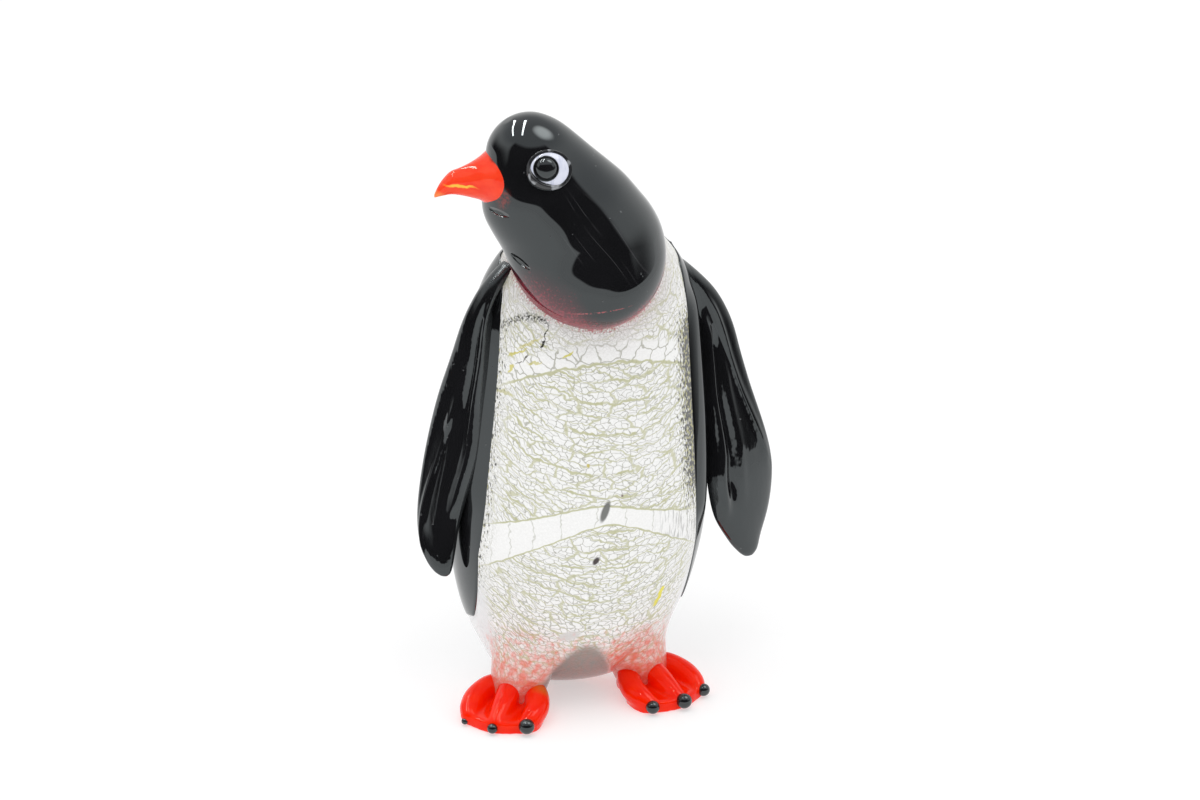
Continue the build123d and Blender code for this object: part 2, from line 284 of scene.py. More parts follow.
def measured(mesh: BMesh) -> BVHTree:
    """A skin to measure from; its mesh is freed."""
    tree = BVHTree.FromBMesh(mesh)
    mesh.free()
    return tree


def piece(
    mesh: BMesh,
    name: str,
    finish: Material,
    slot: Slot,
    nodes: Iterable[str],
    levels: int = 1,
    wall: float = 0.0,
) -> bpy.types.Object:
    """Makes a drawn mesh a piece of the figure.

    Args:
        mesh: the shape, in the drawing's millimetres; it is freed.
        name: the piece's name.
        finish: its material.
        slot: the record's slot that the finish stands for; it is not used.
        nodes: CAD nodes that the piece stands for.
        levels: subdivision of the live modifier.
        wall: thickness of an open sheet, inwards.

    Returns:
        The piece's object.
    """
    bmesh.ops.transform(mesh, matrix=Matrix.Scale(MM, 4) @ Matrix.Translation(HOME), verts=mesh.verts)
    for face in mesh.faces:
        face.smooth = True
    shape = bpy.data.meshes.new(name)
    mesh.to_mesh(shape)
    mesh.free()
    shape.materials.append(finish)
    made = bpy.data.objects.new(name, shape)
    bpy.context.scene.collection.objects.link(made)
    if wall:
        solid = made.modifiers.new("wall", "SOLIDIFY")
        solid.thickness, solid.offset = wall * MM, -1.0
    if levels:
        soft = made.modifiers.new("round", "SUBSURF")
        soft.levels = soft.render_levels = levels
    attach(made, "root")
    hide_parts(*nodes)
    log.info("%s: %d faces", name, len(shape.polygons))
    return made


# Finishes


def shade(colour: Colour, much: float) -> Colour:
    """A colour made darker or lighter."""
    return tuple(part * much for part in colour)


@dataclass(frozen=True)
class Mark:
    """An oval mark: its middle, half sizes, turn in degrees and the share over which its edge fades."""

    at: Row
    size: Row
    turn: Row = ORIGIN
    soft: float = 0.3


class Wiring:
    """Short calls that add and join the nodes of one tree."""

    def __init__(self, tree: bpy.types.NodeTree) -> None:
        """Takes the tree that the nodes go in."""
        self.tree = tree

    def node(self, kind: str, *inputs: object, **settings: object) -> bpy.types.Node:
        """Adds a node.

        Args:
            kind: the end of the name of the node's type.
            inputs: values or sockets for its first inputs.
            settings: its own settings.

        Returns:
            The node.
        """
        made = self.tree.nodes.new(f"ShaderNode{kind}")
        for key, value in settings.items():
            setattr(made, key, value)
        for value, socket in zip(inputs, made.inputs):
            self.join(value, socket)
        return made

    def join(self, value: object, socket: Socket) -> None:
        """Links a socket, or sets its plain value."""
        if isinstance(value, Socket):
            self.tree.links.new(value, socket)
        else:
            socket.default_value = value

    def fill(self, node: bpy.types.Node, **sockets: object) -> bpy.types.Node:
        """Sets or links a node's inputs, named with underscores, and gives the node back."""
        for key, value in sockets.items():
            self.join(value, node.inputs[key.replace("_", " ")])
        return node

    def math(self, how: str, *values: Value) -> Socket:
        """One step of arithmetic."""
        return self.node("Math", *values, operation=how).outputs[0]

    def times(self, *values: Value) -> Value:
        """Product of the values."""
        return reduce(lambda total, value: self.math("MULTIPLY", total, value), values)

    def most(self, *values: Value) -> Value:
        """Largest of the values."""
        return reduce(lambda total, value: self.math("MAXIMUM", total, value), values)

    def less(self, value: Value, other: Value) -> Socket:
        """A value less another."""
        return self.math("SUBTRACT", value, other)

    def rest(self, share: Value) -> Socket:
        """What a share leaves of 1."""
        return self.less(1.0, share)

    def mad(self, value: Value, factor: Value, added: Value) -> Socket:
        """A value times a factor, with another added."""
        return self.math("MULTIPLY_ADD", value, factor, added)

    def wavy(self, value: Value, noise: Value, reach: float) -> Socket:
        """A value shifted both ways by noise."""
        return self.mad(self.less(noise, 0.5), reach, value)

    def rise(self, value: Value, low: Value, high: Value) -> Socket:
        """Smooth rise from 0 at low to 1 at high."""
        return self.node("MapRange", value, low, high, interpolation_type="SMOOTHSTEP").outputs[0]

    def fall(self, value: Value, low: Value, high: Value) -> Socket:
        """Smooth fall from 1 at low to 0 at high."""
        return self.rest(self.rise(value, low, high))

    def blend(self, share: Value, low: object, high: object) -> Socket:
        """Colour or normal between two."""
        made = self.node("Mix", data_type="RGBA")
        for given, index in zip((share, low, high), (0, 6, 7)):
            self.join((*given, 1.0) if isinstance(given, tuple) else given, made.inputs[index])
        return made.outputs[2]

    def paint(self, colour: object, tint: object, *shares: Value) -> Socket:
        """A colour with a tint laid over it by the product of the shares."""
        return self.blend(self.times(*shares), colour, tint)

    def place(self) -> Socket:
        """Object coordinates, in metres."""
        return self.node("TexCoord").outputs["Object"]

    def own(self, name: str, output: str = "Fac") -> Socket:
        """A value that the piece's mesh carries."""
        return self.node("Attribute", attribute_name=name).outputs[output]

    def vector(self, x: Value, y: Value, z: Value = 0.0) -> Socket:
        """A vector of three values."""
        return self.node("CombineXYZ", x, y, z).outputs[0]

    def parts(self, vector: Socket) -> Sequence[Socket]:
        """The three parts of a vector."""
        return self.node("SeparateXYZ", vector).outputs

    def mapped(self, vector: Socket, size: Row, at: Row = ORIGIN, turn: Row = ORIGIN) -> Socket:
        """A vector measured from a place, in turned axes, by sizes along them."""
        angles = [math.radians(angle) for angle in turn]
        return self.node("Mapping", vector, at, angles, size, vector_type="TEXTURE").outputs[0]

    def spot(self, vector: Socket, mark: Mark) -> Socket:
        """Mask of a mark: 1 inside and 0 outside."""
        local = self.mapped(vector, mark.size, mark.at, mark.turn)
        reach = self.node("VectorMath", local, operation="LENGTH").outputs["Value"]
        return self.fall(reach, 1.0 - mark.soft, 1.0 + mark.soft)

    def noise(
        self, vector: Socket, scale: float, detail: float = 2.0, dims: str = "3D", output: str = "Fac"
    ) -> Socket:
        """Soft noise of a scale."""
        made = self.node("TexNoise", noise_dimensions=dims)
        return self.fill(made, Vector=vector, Scale=scale, Detail=detail).outputs[output]

    def shaken(self, vector: Socket, scale: float, reach: Row, dims: str = "3D") -> Socket:
        """A vector that noise carries up to a reach along each axis."""
        noise = self.noise(vector, scale, 2.0, dims, "Color")
        return self.node("VectorMath", noise, reach, vector, operation="MULTIPLY_ADD").outputs[0]

    def net(self, u: Socket, v: Socket, cell: Row) -> Socket:
        """Distance from the edges of a flat net of cells of a width and a height."""
        made = self.node("TexVoronoi", voronoi_dimensions="2D", feature="DISTANCE_TO_EDGE")
        place = self.vector(self.math("DIVIDE", u, cell[0]), self.math("DIVIDE", v, cell[1]))
        return self.fill(made, Vector=place, Scale=1.0).outputs["Distance"]

    def lines(self, along: Value) -> Socket:
        """Distance from marks at uneven steps along one value."""
        made = self.node("TexVoronoi", voronoi_dimensions="1D", feature="DISTANCE_TO_EDGE")
        return self.fill(made, W=along, Scale=1.0).outputs["Distance"]

    def bump(self, height: Socket, depth: float, under: Socket | None = None) -> Socket:
        """Normal of a relief.

        Args:
            height: the relief.
            depth: metres to each unit of it.
            under: normal that it lies on.

        Returns:
            The bent normal.
        """
        made = self.fill(self.node("Bump"), Distance=depth, Height=height)
        if under is not None:
            self.join(under, made.inputs["Normal"])
        return made.outputs[0]


class Surface(Wiring):
    """The wiring of one material."""

    def __init__(self, name: str) -> None:
        """Starts the material with its one shader."""
        self.material = bpy.data.materials.new(name)
        self.material.use_nodes = True
        super().__init__(self.material.node_tree)
        self.shader = self.tree.nodes["Principled BSDF"]

    def set(self, **sockets: object) -> None:
        """Sets or links the shader's sockets, named with underscores."""
        self.fill(self.shader, **sockets)


@dataclass(frozen=True)
class BlackGlass:
    """Near-black glass: deep, wet gloss, slow waves and a few seeds."""

    name: str = "black_glass"
    colour: Colour = (0.0055, 0.0055, 0.0062)
    cloudy: float = 1.7
    seed: Colour = (0.05, 0.05, 0.052)
    seed_height: float = 0.00003
    gloss: Row = (0.90, 0.985, 1.0, 1.0)
    ior: float = 1.74
    wave: float = 0.00006

    def wire(self) -> tuple[Surface, Socket, Socket]:
        """Wires the common finish.

        Returns:
            The wiring, its colour and its normal, for more to be laid over them.
        """
        w = Surface(self.name)
        place = w.place()
        cloud = w.noise(place, 60.0, 3.0)
        seeds = w.rise(w.noise(place, 900.0, 1.0), 0.76, 0.80)
        colour = w.blend(w.rise(cloud, 0.35, 0.75), self.colour, shade(self.colour, self.cloudy))
        colour = w.blend(seeds, colour, self.seed)
        normal = w.bump(seeds, self.seed_height, w.bump(w.noise(place, 75.0, 1.0), self.wave))
        w.set(Roughness=w.mad(cloud, 0.035, 0.015), IOR=self.ior, Specular_Tint=self.gloss)
        return w, colour, normal

    def material(self) -> Material:
        """The plain finish."""
        w, colour, normal = self.wire()
        w.set(Base_Color=colour, Normal=normal)
        return w.material


@dataclass(frozen=True)
class WingGlass(BlackGlass):
    """The wings' black glass, pressed so that its face swells towards the tip."""

    name: str = "wing_glass"
    swell: float = 0.26
    curl: float = -20.0
    fan: float = 0.22
    shoulder: float = 0.080
    # Square of the drop over which the swell sets in
    onset: float = 0.00004
    # Where the outer edge's facet starts: its X at the shoulder, and how far it runs out per drop
    facet: Row = (0.0205, 0.405)
    # Heights over which the root turns dull, how dull, and the roughness below
    dull: Row = (0.082, 0.087, 0.24, 0.03)
    ripple: Row = (0.0014, 0.0014, 0.004)
    ripple_height: float = 0.00005

    def material(self) -> Material:
        """The finish with its swell and a few drawn ripples."""
        w, colour, normal = self.wire()
        place = w.place()
        x, _, z = w.parts(place)
        drop = w.less(self.shoulder, z)
        slope = w.times(w.math("SQRT", w.mad(drop, drop, self.onset)), self.swell)
        slope = w.math("ADD", slope, w.times(self.curl, drop, drop, drop))
        beyond = w.less(w.less(x, self.facet[0]), w.times(drop, self.facet[1]))
        normal = w.bump(w.mad(w.most(beyond, 0.0), self.fan, slope), 1.0, normal)
        low, high, much, smooth = self.dull
        ripples = w.noise(w.mapped(place, self.ripple), 1.0, 2.0)
        w.set(Base_Color=colour, Normal=w.bump(ripples, self.ripple_height, normal))
        w.set(Roughness=w.mad(w.rise(z, low, high), much, smooth))
        return w.material


@dataclass(frozen=True)
class CapeGlass(BlackGlass):
    """The cape's black glass, whose flanks lean and turn where they were pressed beside the wings."""

    name: str = "cape_glass"
    # Slopes of each pressed flank, up and across, and the heights between which it sets in
    right: Row = (0.15, -0.60, 0.042, 0.048)
    left: Row = (-0.22, 0.45, 0.036, 0.041)
    # Heights between which both end, and where they set in aside and end towards the back
    end: Row = (0.078, 0.085)
    aside: Row = (0.004, 0.010)
    behind: Row = (-0.002, 0.005)

    def material(self) -> Material:
        """The finish with the lean of each flank."""
        w, colour, normal = self.wire()
        x, y, z = w.parts(w.place())
        for side, (lean, turn, low, high) in ((Side.RIGHT, self.right), (Side.LEFT, self.left)):
            pressed = w.bump(w.mad(z, lean, w.times(x, turn)), 1.0, normal)
            flank = w.times(w.rise(w.times(x, side.value), *self.aside), w.fall(y, *self.behind))
            here = w.times(flank, w.rise(z, low, high), w.fall(z, *self.end))
            normal = w.blend(here, normal, pressed)
        w.set(Base_Color=colour, Normal=normal)
        return w.material


@dataclass(frozen=True)
class HoodGlass(BlackGlass):
    """The hood's black glass, with drawn flow lines and a crimson edge at the collar."""

    name: str = "hood_glass"
    lean: float = 30.0
    neck: Row = (0.35, -7.2, 92.9)
    crimson: Colour = (0.27, 0.022, 0.040)
    bright: float = 2.1
    pink: Colour = (0.42, 0.08, 0.09)
    strand: Colour = (0.034, 0.034, 0.036)
    # Painted shade, darker than the glass, for the dimple and the fold
    pit_shade: Colour = (0.002, 0.002, 0.002)
    red: Colour = (0.20, 0.014, 0.008)
    streak: Mark = Mark(at_home(-0.4, -20.0, 85.2), (0.0058, 0.006, 0.00016), (0, -8, 0))
    flow: Mark = Mark(at_home(-0.4, -20.4, 97.0), (0.0075, 0.009, 0.013), (0, -30, 0), 0.45)
    brow: Mark = Mark(at_home(-15.2, -14.6, 109.6), (0.0052, 0.007, 0.0046), soft=0.5)
    dimple: Mark = Mark(at_home(-13.8, -13.6, 93.7), (0.0019, 0.0022, 0.0005), (0, 34, 0), 0.4)
    fold: Mark = Mark(at_home(-17.6, -12.9, 103.2), (0.0016, 0.0024, 0.0005), (0, 12, 0), 0.4)
    stain: Mark = Mark(at_home(-16.9, -14.0, 105.9), (0.0009, 0.0020, 0.0016), (0, 20, 0), 0.7)

    def material(self) -> Material:
        """The finish with its collar, its strands and its marks, with painted shade in the dimple and the
        fold.
        """
        w, colour, normal = self.wire()
        place = w.place()
        x, _, z = w.parts(place)
        grain = w.noise(place, 1900.0, 2.0)
        colour = self.edged(w, colour, x, grain)
        colour = w.paint(colour, self.pink, w.spot(place, self.streak), w.rise(grain, 0.40, 0.58), 0.85)
        colour = w.paint(colour, self.strand, self.strands(w, place), 0.85)
        normal = w.bump(w.fall(z, 0.078, 0.097), 0.0034, normal)
        normal = w.blend(w.spot(place, self.brow), normal, w.bump(z, -0.11, normal))
        dimple, fold = w.spot(place, self.dimple), w.spot(place, self.fold)
        normal = w.bump(fold, -0.0007, w.bump(dimple, -0.0006, normal))
        # Painted shade darkens the dimple and the fold
        colour = w.paint(colour, self.pit_shade, w.most(fold, dimple), 0.8)
        colour = w.paint(colour, self.red, w.spot(place, self.stain), w.rise(grain, 0.30, 0.7))
        w.set(Base_Color=colour, Normal=normal)
        return w.material

    def edged(self, w: Wiring, colour: Socket, x: Socket, grain: Socket) -> Socket:
        """The colour with the crimson edge, which is brighter on the figure's left."""
        collar = w.own("collar")
        ragged = w.times(w.fall(w.wavy(collar, grain, 1.5), 0.25, 0.85), 0.95)
        tint = w.blend(w.rise(x, -0.002, 0.005), self.crimson, shade(self.crimson, self.bright))
        return w.blend(w.most(ragged, w.times(w.fall(collar, 0.3, 1.1), 0.45)), colour, tint)

    def strands(self, w: Wiring, place: Socket) -> Socket:
        """Mask of thin broken strands along the leaning neck."""
        local = w.mapped(place, (1, 1, 1), at_home(*self.neck), (0, -self.lean, 0))
        sway = w.noise(w.mapped(local, (0.012, 0.012, 0.05)), 1.0, 1.0)
        lines = w.lines(w.mad(sway, 5.0, w.times(w.parts(local)[0], 330.0)))
        broken = w.rise(w.noise(w.mapped(local, (0.002, 0.002, 0.009)), 1.0, 1.0), 0.42, 0.62)
        return w.times(w.fall(lines, 0.01, 0.055), w.spot(place, self.flow), broken)


@dataclass(frozen=True)
class LeafGlass:
    """Silver leaf, crackled as the glass was drawn out, under a clear gather; lengths are millimetres."""

    name: str = "silver_leaf_under_glass"
    white: Colour = (0.965, 0.965, 0.955)
    thin: Colour = (0.37, 0.37, 0.30)
    thick: Colour = (0.50, 0.50, 0.27)
    dull: Colour = (0.20, 0.20, 0.19)
    # Painted shade along the crease below the collar
    crease_shade: Colour = (0.05, 0.05, 0.04)
    black: Colour = (0.028, 0.028, 0.026)
    brass: Colour = (0.36, 0.34, 0.14)
    bare: Colour = (0.84, 0.85, 0.86)
    # Bare clear glass of the arch, darkened partly as painted shade under the body
    clear: Colour = (0.165, 0.135, 0.115)
    blush: Colour = (0.72, 0.50, 0.38)
    rosy: Colour = (0.85, 0.13, 0.07)
    red: Colour = (0.74, 0.06, 0.03)
    pink: Colour = (0.55, 0.10, 0.13)
    # Rise of the drawn-out lines per square of the distance from their middle
    sag: float = 0.0165
    sag_middle: float = 3.0
    # Scale and detail of each uneven shift, and its reach round and up
    shifts: tuple[Row, ...] = ((0.11, 2.0, 1.8, 3.2), (0.75, 1.0, 1.2, 0.9))
    # Width and height of the cells of each net of cracks, and the steps between arcs and between posts
    mid_cell: Row = (1.40, 0.86)
    fine_cell: Row = (0.70, 0.55)
    broad_cell: Row = (6.4, 1.8)
    large_cell: Row = (3.4, 2.8)
    arc_step: float = 3.7
    post_step: float = 5.0
    # Middle, top, end slope and roundness of the bowed lines across the belly
    band_lines: tuple[Row, ...] = ((-0.6, 46.3, 0.275, 3.0), (1.2, 42.4, 0.50, 4.0))
    collar_line: Row = (2.0, 73.5, 0.50, 22.0)
    crease_line: Row = (-15.5, 81.9, 0.8, 8.0)
    arch_line: Row = (-0.4, 17.0, 1.7, 5.0)
    # Half width and wobble of the lines drawn along the bands
    line_halves: Row = (0.18, 0.16, 0.26)
    line_wobbles: Row = (0.6, 0.6, 1.2)
    crease_reach: Mark = Mark((-17.0, 80.6, 0.0), (5.6, 3.0, 1.0), soft=0.2)
    # Place, half sizes, turn, share and tint of the stains and flecks caught in the glass, and of a dark spot
    # low on the left leg's outer side
    stains: tuple[tuple[Row, Row, float, float, Colour], ...] = (
        ((-15.2, 77.0), (2.6, 0.30), 24, 0.55, (0.62, 0.55, 0.08)),
        ((-17.6, 75.2), (2.2, 0.26), 20, 0.8, (0.64, 0.57, 0.05)),
        ((-13.6, 73.6), (1.5, 0.24), 4, 0.7, (0.58, 0.53, 0.08)),
        ((-18.8, 72.0), (0.9, 0.40), 60, 0.8, (0.64, 0.57, 0.05)),
        ((-6.8, 75.3), (1.0, 0.28), 28, 0.85, (0.66, 0.60, 0.06)),
        ((-4.6, 18.2), (2.3, 1.15), 14, 0.95, (0.70, 0.69, 0.675)),
        ((-15.6, 74.3), (0.9, 0.18), 60, 0.9, (0.05, 0.045, 0.02)),
        ((-17.0, 73.4), (0.8, 0.14), 15, 0.9, (0.06, 0.05, 0.02)),
        ((-20.0, 67.4), (2.4, 0.35), -10, 0.7, (0.56, 0.54, 0.22)),
        ((-26.0, 87.6), (2.6, 1.9), 0, 0.35, (0.50, 0.51, 0.30)),
        ((-11.7, 79.3), (1.5, 0.15), 76, 1.0, (0.02, 0.02, 0.015)),
        ((-12.1, 77.2), (0.7, 0.22), 72, 1.0, (0.015, 0.015, 0.01)),
        ((-2.4, 54.3), (0.35, 0.25), 0, 0.9, (0.62, 0.52, 0.08)),
        ((3.9, 47.9), (0.22, 0.2), 0, 0.9, (0.10, 0.05, 0.03)),
        ((14.6, 25.6), (1.0, 0.62), 70, 1.0, (0.84, 0.75, 0.02)),
        ((14.2, 23.6), (1.5, 0.55), 66, 1.0, (0.80, 0.70, 0.02)),
        ((0.82, 45.2), (2.05, 0.66), 72, 0.9, (0.05, 0.05, 0.045)),
        ((0.86, 45.1), (1.7, 0.46), 72, 0.9, (0.15, 0.155, 0.145)),
        ((-0.54, 35.4), (0.85, 0.5), 62, 1.0, (0.022, 0.008, 0.008)),
        ((-25.4, 7.6), (1.7, 0.7), 80, 0.7, (0.16, 0.07, 0.05)),
        # A dark spot low on the outer side of the left leg
        ((21.6, 14.4), (1.3, 0.45), 80, 0.8, (0.06, 0.06, 0.06)),
        ((-15.0, 8.4), (2.6, 2.2), 0, 0.42, (0.80, 0.06, 0.03)),
        ((11.5, 10.4), (2.6, 1.6), 0, 0.36, (0.80, 0.08, 0.04)),
    )

    def material(self) -> Material:
        """Wires the leaf, laid out by millimetres round the body and up it."""
        w = Surface(self.name)
        flat = w.own("leaf_place", "Vector")
        across, up, on_leg = w.parts(flat)
        u, v = self.drawn_out(w, flat, across, up)
        patchy = w.noise(flat, 0.16, 2.0, "2D")
        grain = w.noise(flat, 2.2, 3.0, "2D")
        collar, rims = w.own("collar"), w.parts(w.own("rim_gap", "Vector"))[:2]
        band, big = self.smooth_band(w, across, up), self.big_band(w, across, up)
        near = w.most(w.fall(collar, 0.5, 6.0), *(w.fall(rim, 0.5, 4.5) for rim in rims))
        whole = w.rest(w.most(band, big))

        width = w.mad(w.rise(patchy, 0.3, 0.7), 0.06, 0.05)
        width = w.mad(w.fall(up, 24.0, 38.0), 0.05, width)
        mid = w.times(w.fall(w.net(u, v, self.mid_cell), 0.02, width), whole)
        fine = w.fall(w.net(u, v, self.fine_cell), 0.02, 0.20)
        broad = w.times(w.fall(w.net(u, v, self.broad_cell), 0.02, w.mad(patchy, 0.11, 0.02)), whole)
        large = w.times(w.fall(w.net(u, v, self.large_cell), 0.015, 0.07), big)
        arcs = w.fall(w.lines(w.math("DIVIDE", v, self.arc_step)), w.mad(patchy, 0.07, -0.01), 0.075)
        arcs = w.times(arcs, w.rise(w.noise(flat, 0.17, 1.0, "2D"), 0.40, 0.52), whole)
        posts = w.times(w.fall(w.lines(w.math("DIVIDE", u, self.post_step)), 0.01, 0.03), band)
        shreds = w.noise(w.mapped(flat, (0.4, 3.0, 1.0)), 1.0, 2.0, "2D")
        torn = w.times(w.rise(across, 9.0, 16.0), w.rise(shreds, 0.5, 0.62), band)

        calm = w.rest(w.times(near, 0.6))
        colour = w.blend(w.rise(grain, 0.35, 0.75), shade(self.white, 0.95), self.white)
        colour = w.paint(colour, self.thin, fine, w.mad(near, 0.34, 0.06))
        colour = w.paint(colour, self.thin, w.most(mid, large, w.times(posts, 0.6)), calm, 0.80)
        heavy = w.most(w.times(broad, 0.8), arcs, self.drawn_lines(w, across, up))
        colour = w.paint(colour, self.thick, heavy, calm, 0.88)
        colour = w.paint(colour, self.dull, torn, 0.5)
        colour = self.flecks(w, colour, flat, grain)
        colour = self.edges(w, colour, flat, rims, up)
        colour = self.feet_end(w, colour, across, up, grain, on_leg)
        colour = w.paint(colour, self.pink, w.fall(w.wavy(collar, grain, 3.2), -0.5, 0.7), 0.85)
        w.set(
            Base_Color=colour, Roughness=0.42, IOR=1.45, Coat_Weight=1.0, Coat_Roughness=0.025, Coat_IOR=1.52,
            Normal=w.bump(w.rest(w.most(mid, arcs, broad, large)), 0.00004),
        )
        return w.material

    def drawn_out(self, w: Wiring, flat: Socket, across: Socket, up: Socket) -> tuple[Socket, Socket]:
        """Places round and up that bow with the drawn-out glass and shift unevenly."""
        aside = w.less(across, self.sag_middle)
        u, v = across, w.less(up, w.times(self.sag, aside, aside))
        for scale, detail, round_reach, up_reach in self.shifts:
            by_round, by_up, _ = w.parts(w.noise(flat, scale, detail, "2D", "Color"))
            u, v = w.wavy(u, by_round, round_reach), w.wavy(v, by_up, up_reach)
        return u, v

    def bow(self, w: Wiring, across: Value, up: Value, line: Row) -> Socket:
        """Height over a bowed line across the belly."""
        middle, top, slope, soft = line
        off = w.less(across, middle)
        fallen = w.math("SQRT", w.mad(off, off, soft * soft))
        return w.less(up, w.mad(fallen, -slope, top + slope * soft))

    def smooth_band(self, w: Wiring, across: Value, up: Value) -> Socket:
        """Mask of the band that stayed whole across the middle."""
        over, under = (self.bow(w, across, up, line) for line in self.band_lines)
        return w.times(w.fall(over, -0.2, 0.1), w.rise(under, -0.1, 0.2))

    def big_band(self, w: Wiring, across: Value, up: Value) -> Socket:
        """Mask of the band of larger flakes under the collar."""
        over = self.bow(w, across, up, self.collar_line)
        return w.times(w.rise(over, -0.1, 0.3), w.fall(over, 3.4, 5.0))

    def drawn_lines(self, w: Wiring, across: Value, up: Value) -> Socket:
        """The thick lines that bound the two bands."""
        total: Value = 0.0
        wobble = w.mad(w.noise(w.vector(across, up), 0.45, 1.0, "2D"), 1.2, -0.6)
        lines = (*self.band_lines, self.collar_line)
        for line, half, much in zip(lines, self.line_halves, self.line_wobbles):
            off = w.math("ABSOLUTE", w.mad(wobble, much, self.bow(w, across, up, line)))
            total = w.most(total, w.fall(off, half * 0.5, half * 1.5))
        return total

    def flecks(self, w: Wiring, colour: Socket, flat: Socket, grain: Socket) -> Socket:
        """Stains and flecks caught in the glass, a dark spot low on the left leg, and painted shade along a
        crease below the collar.
        """
        shaken = w.shaken(flat, 0.9, (1.1, 1.1, 0), "2D")
        ragged = w.node("VectorMath", shaken, (0.55, 0.55, 0.0), operation="SUBTRACT").outputs[0]
        for at, size, turn, much, tint in self.stains:
            clean = at[1] < 50.0 and at[0] < 10.0
            mask = w.spot(flat if clean else ragged, Mark((*at, 0.0), (*size, 1.0), (0, 0, turn)))
            colour = w.paint(colour, tint, mask, much)
        # Painted shade along the crease below the collar, broken by the grain
        crease = self.bow(w, *w.parts(ragged)[:2], self.crease_line)
        line = w.fall(w.math("ABSOLUTE", crease), 0.1, 1.1)
        return w.paint(colour, self.crease_shade, line, w.spot(ragged, self.crease_reach), w.rise(grain, 0.40, 0.62))

    def edges(self, w: Wiring, colour: Socket, flat: Socket, rims: Sequence[Socket], up: Socket) -> Socket:
        """Dark bits along both sides of the leaf, where the black glass shows through."""
        flakes = w.noise(w.mapped(flat, (0.32, 1.1, 1.0), turn=(0, 0, 8)), 1.0, 3.0, "2D")
        tall = w.times(w.rise(up, 36.0, 50.0), w.fall(up, 76.0, 83.0))
        left = w.times(w.fall(rims[1], -0.5, 7.0), w.mad(tall, 0.9, 0.1))
        reach = w.most(left, w.times(w.fall(rims[0], -0.3, 3.0), 0.38))
        mask = w.rise(w.mad(reach, 0.42, flakes), 0.70, 0.76)
        tint = w.blend(w.rise(w.noise(flat, 1.3, 1.0, "2D"), 0.50, 0.62), self.black, self.brass)
        return w.paint(colour, tint, mask, w.rise(reach, 0.02, 0.15), 0.94)

    def feet_end(
        self, w: Wiring, colour: Socket, across: Socket, up: Socket, grain: Socket, on_leg: Socket
    ) -> Socket:
        """Rosy legs, and the bare clear arch between them in painted shade that deepens towards the bottom.
        """
        aside = w.math("ABSOLUTE", across)
        bare = w.times(w.rise(aside, 21.5, 24.5), w.fall(up, 24.0, 31.0))
        colour = w.paint(colour, self.bare, bare, 0.9)
        arch = self.bow(w, across, up, self.arch_line)
        clear = w.times(w.fall(arch, -3.4, 0.6), w.fall(up, 14.6, 17.4))
        # Painted shade: the bare arch darkens towards the bottom, under the body
        depth = w.blend(w.rise(up, 6.0, 15.0), shade(self.clear, 0.55), shade(self.clear, 1.35))
        colour = w.paint(colour, depth, clear, 0.95)
        leg = w.times(w.most(on_leg, w.fall(aside, 19.0, 27.0)), w.rest(w.times(clear, 0.85)))
        speck = w.noise(w.mapped(w.vector(across, up), (1.3, 1.5, 1.0)), 1.0, 5.0, "2D")
        dense = w.fall(up, 4.0, 22.0)
        haze = w.times(w.rise(w.mad(dense, 0.44, speck), 0.52, 1.08), w.rise(dense, 0.0, 0.2))
        colour = w.paint(colour, self.blush, w.fall(up, 8.0, 19.0), leg, 0.34)
        colour = w.paint(colour, self.rosy, haze, leg, 0.80)
        return w.paint(colour, self.red, w.fall(w.mad(grain, 6.0, up), 6.0, 13.0), leg, 0.7)


@dataclass(frozen=True)
class OrangeGlass:
    """Opaque orange-red glass with deeper streaks, and spots laid over it: smudges and flecks, and on the
    beak painted light and shade.
    """

    name: str = "orange_glass"
    colour: Colour = (0.98, 0.042, 0.008)
    deep: Colour = (0.86, 0.020, 0.004)
    ior: float = 1.45
    gloss: Row = (1.0, 0.80, 0.70, 1.0)
    # Place of each spot in the drawing, its half sizes in metres, its turn, its share and its tint
    spots: tuple[tuple[Row, Row, Row, float, Colour], ...] = ()
    # How far noise carries the spots on, and the softness of their edges
    drift: float = 0.0006
    soft: float = 0.5

    def material(self) -> Material:
        """Wires the streaks and the spots."""
        w = Surface(self.name)
        place = w.place()
        streaks = w.noise(w.mapped(place, (2.6, 1.0, 0.8)), 330.0, 3.0)
        colour = w.blend(w.rise(streaks, 0.38, 0.72), self.colour, self.deep)
        shaken = w.shaken(place, 500.0, (2 * self.drift,) * 3)
        # Spots: smudges and flecks, and on the beak a painted highlight, a painted glow at its tip and
        # painted shade under its root
        for at, size, turn, much, tint in self.spots:
            carried = tuple(part + self.drift for part in at_home(*at))
            colour = w.paint(colour, tint, w.spot(shaken, Mark(carried, size, turn, self.soft)), much)
        w.set(
            Base_Color=colour, Roughness=w.mad(streaks, 0.05, 0.02), IOR=self.ior, Specular_Tint=self.gloss,
            Normal=w.bump(w.noise(place, 160.0, 2.0), 0.00004),
            Subsurface_Weight=0.22, Subsurface_Radius=(1.0, 0.16, 0.06), Subsurface_Scale=0.0016,
        )
        return w.material


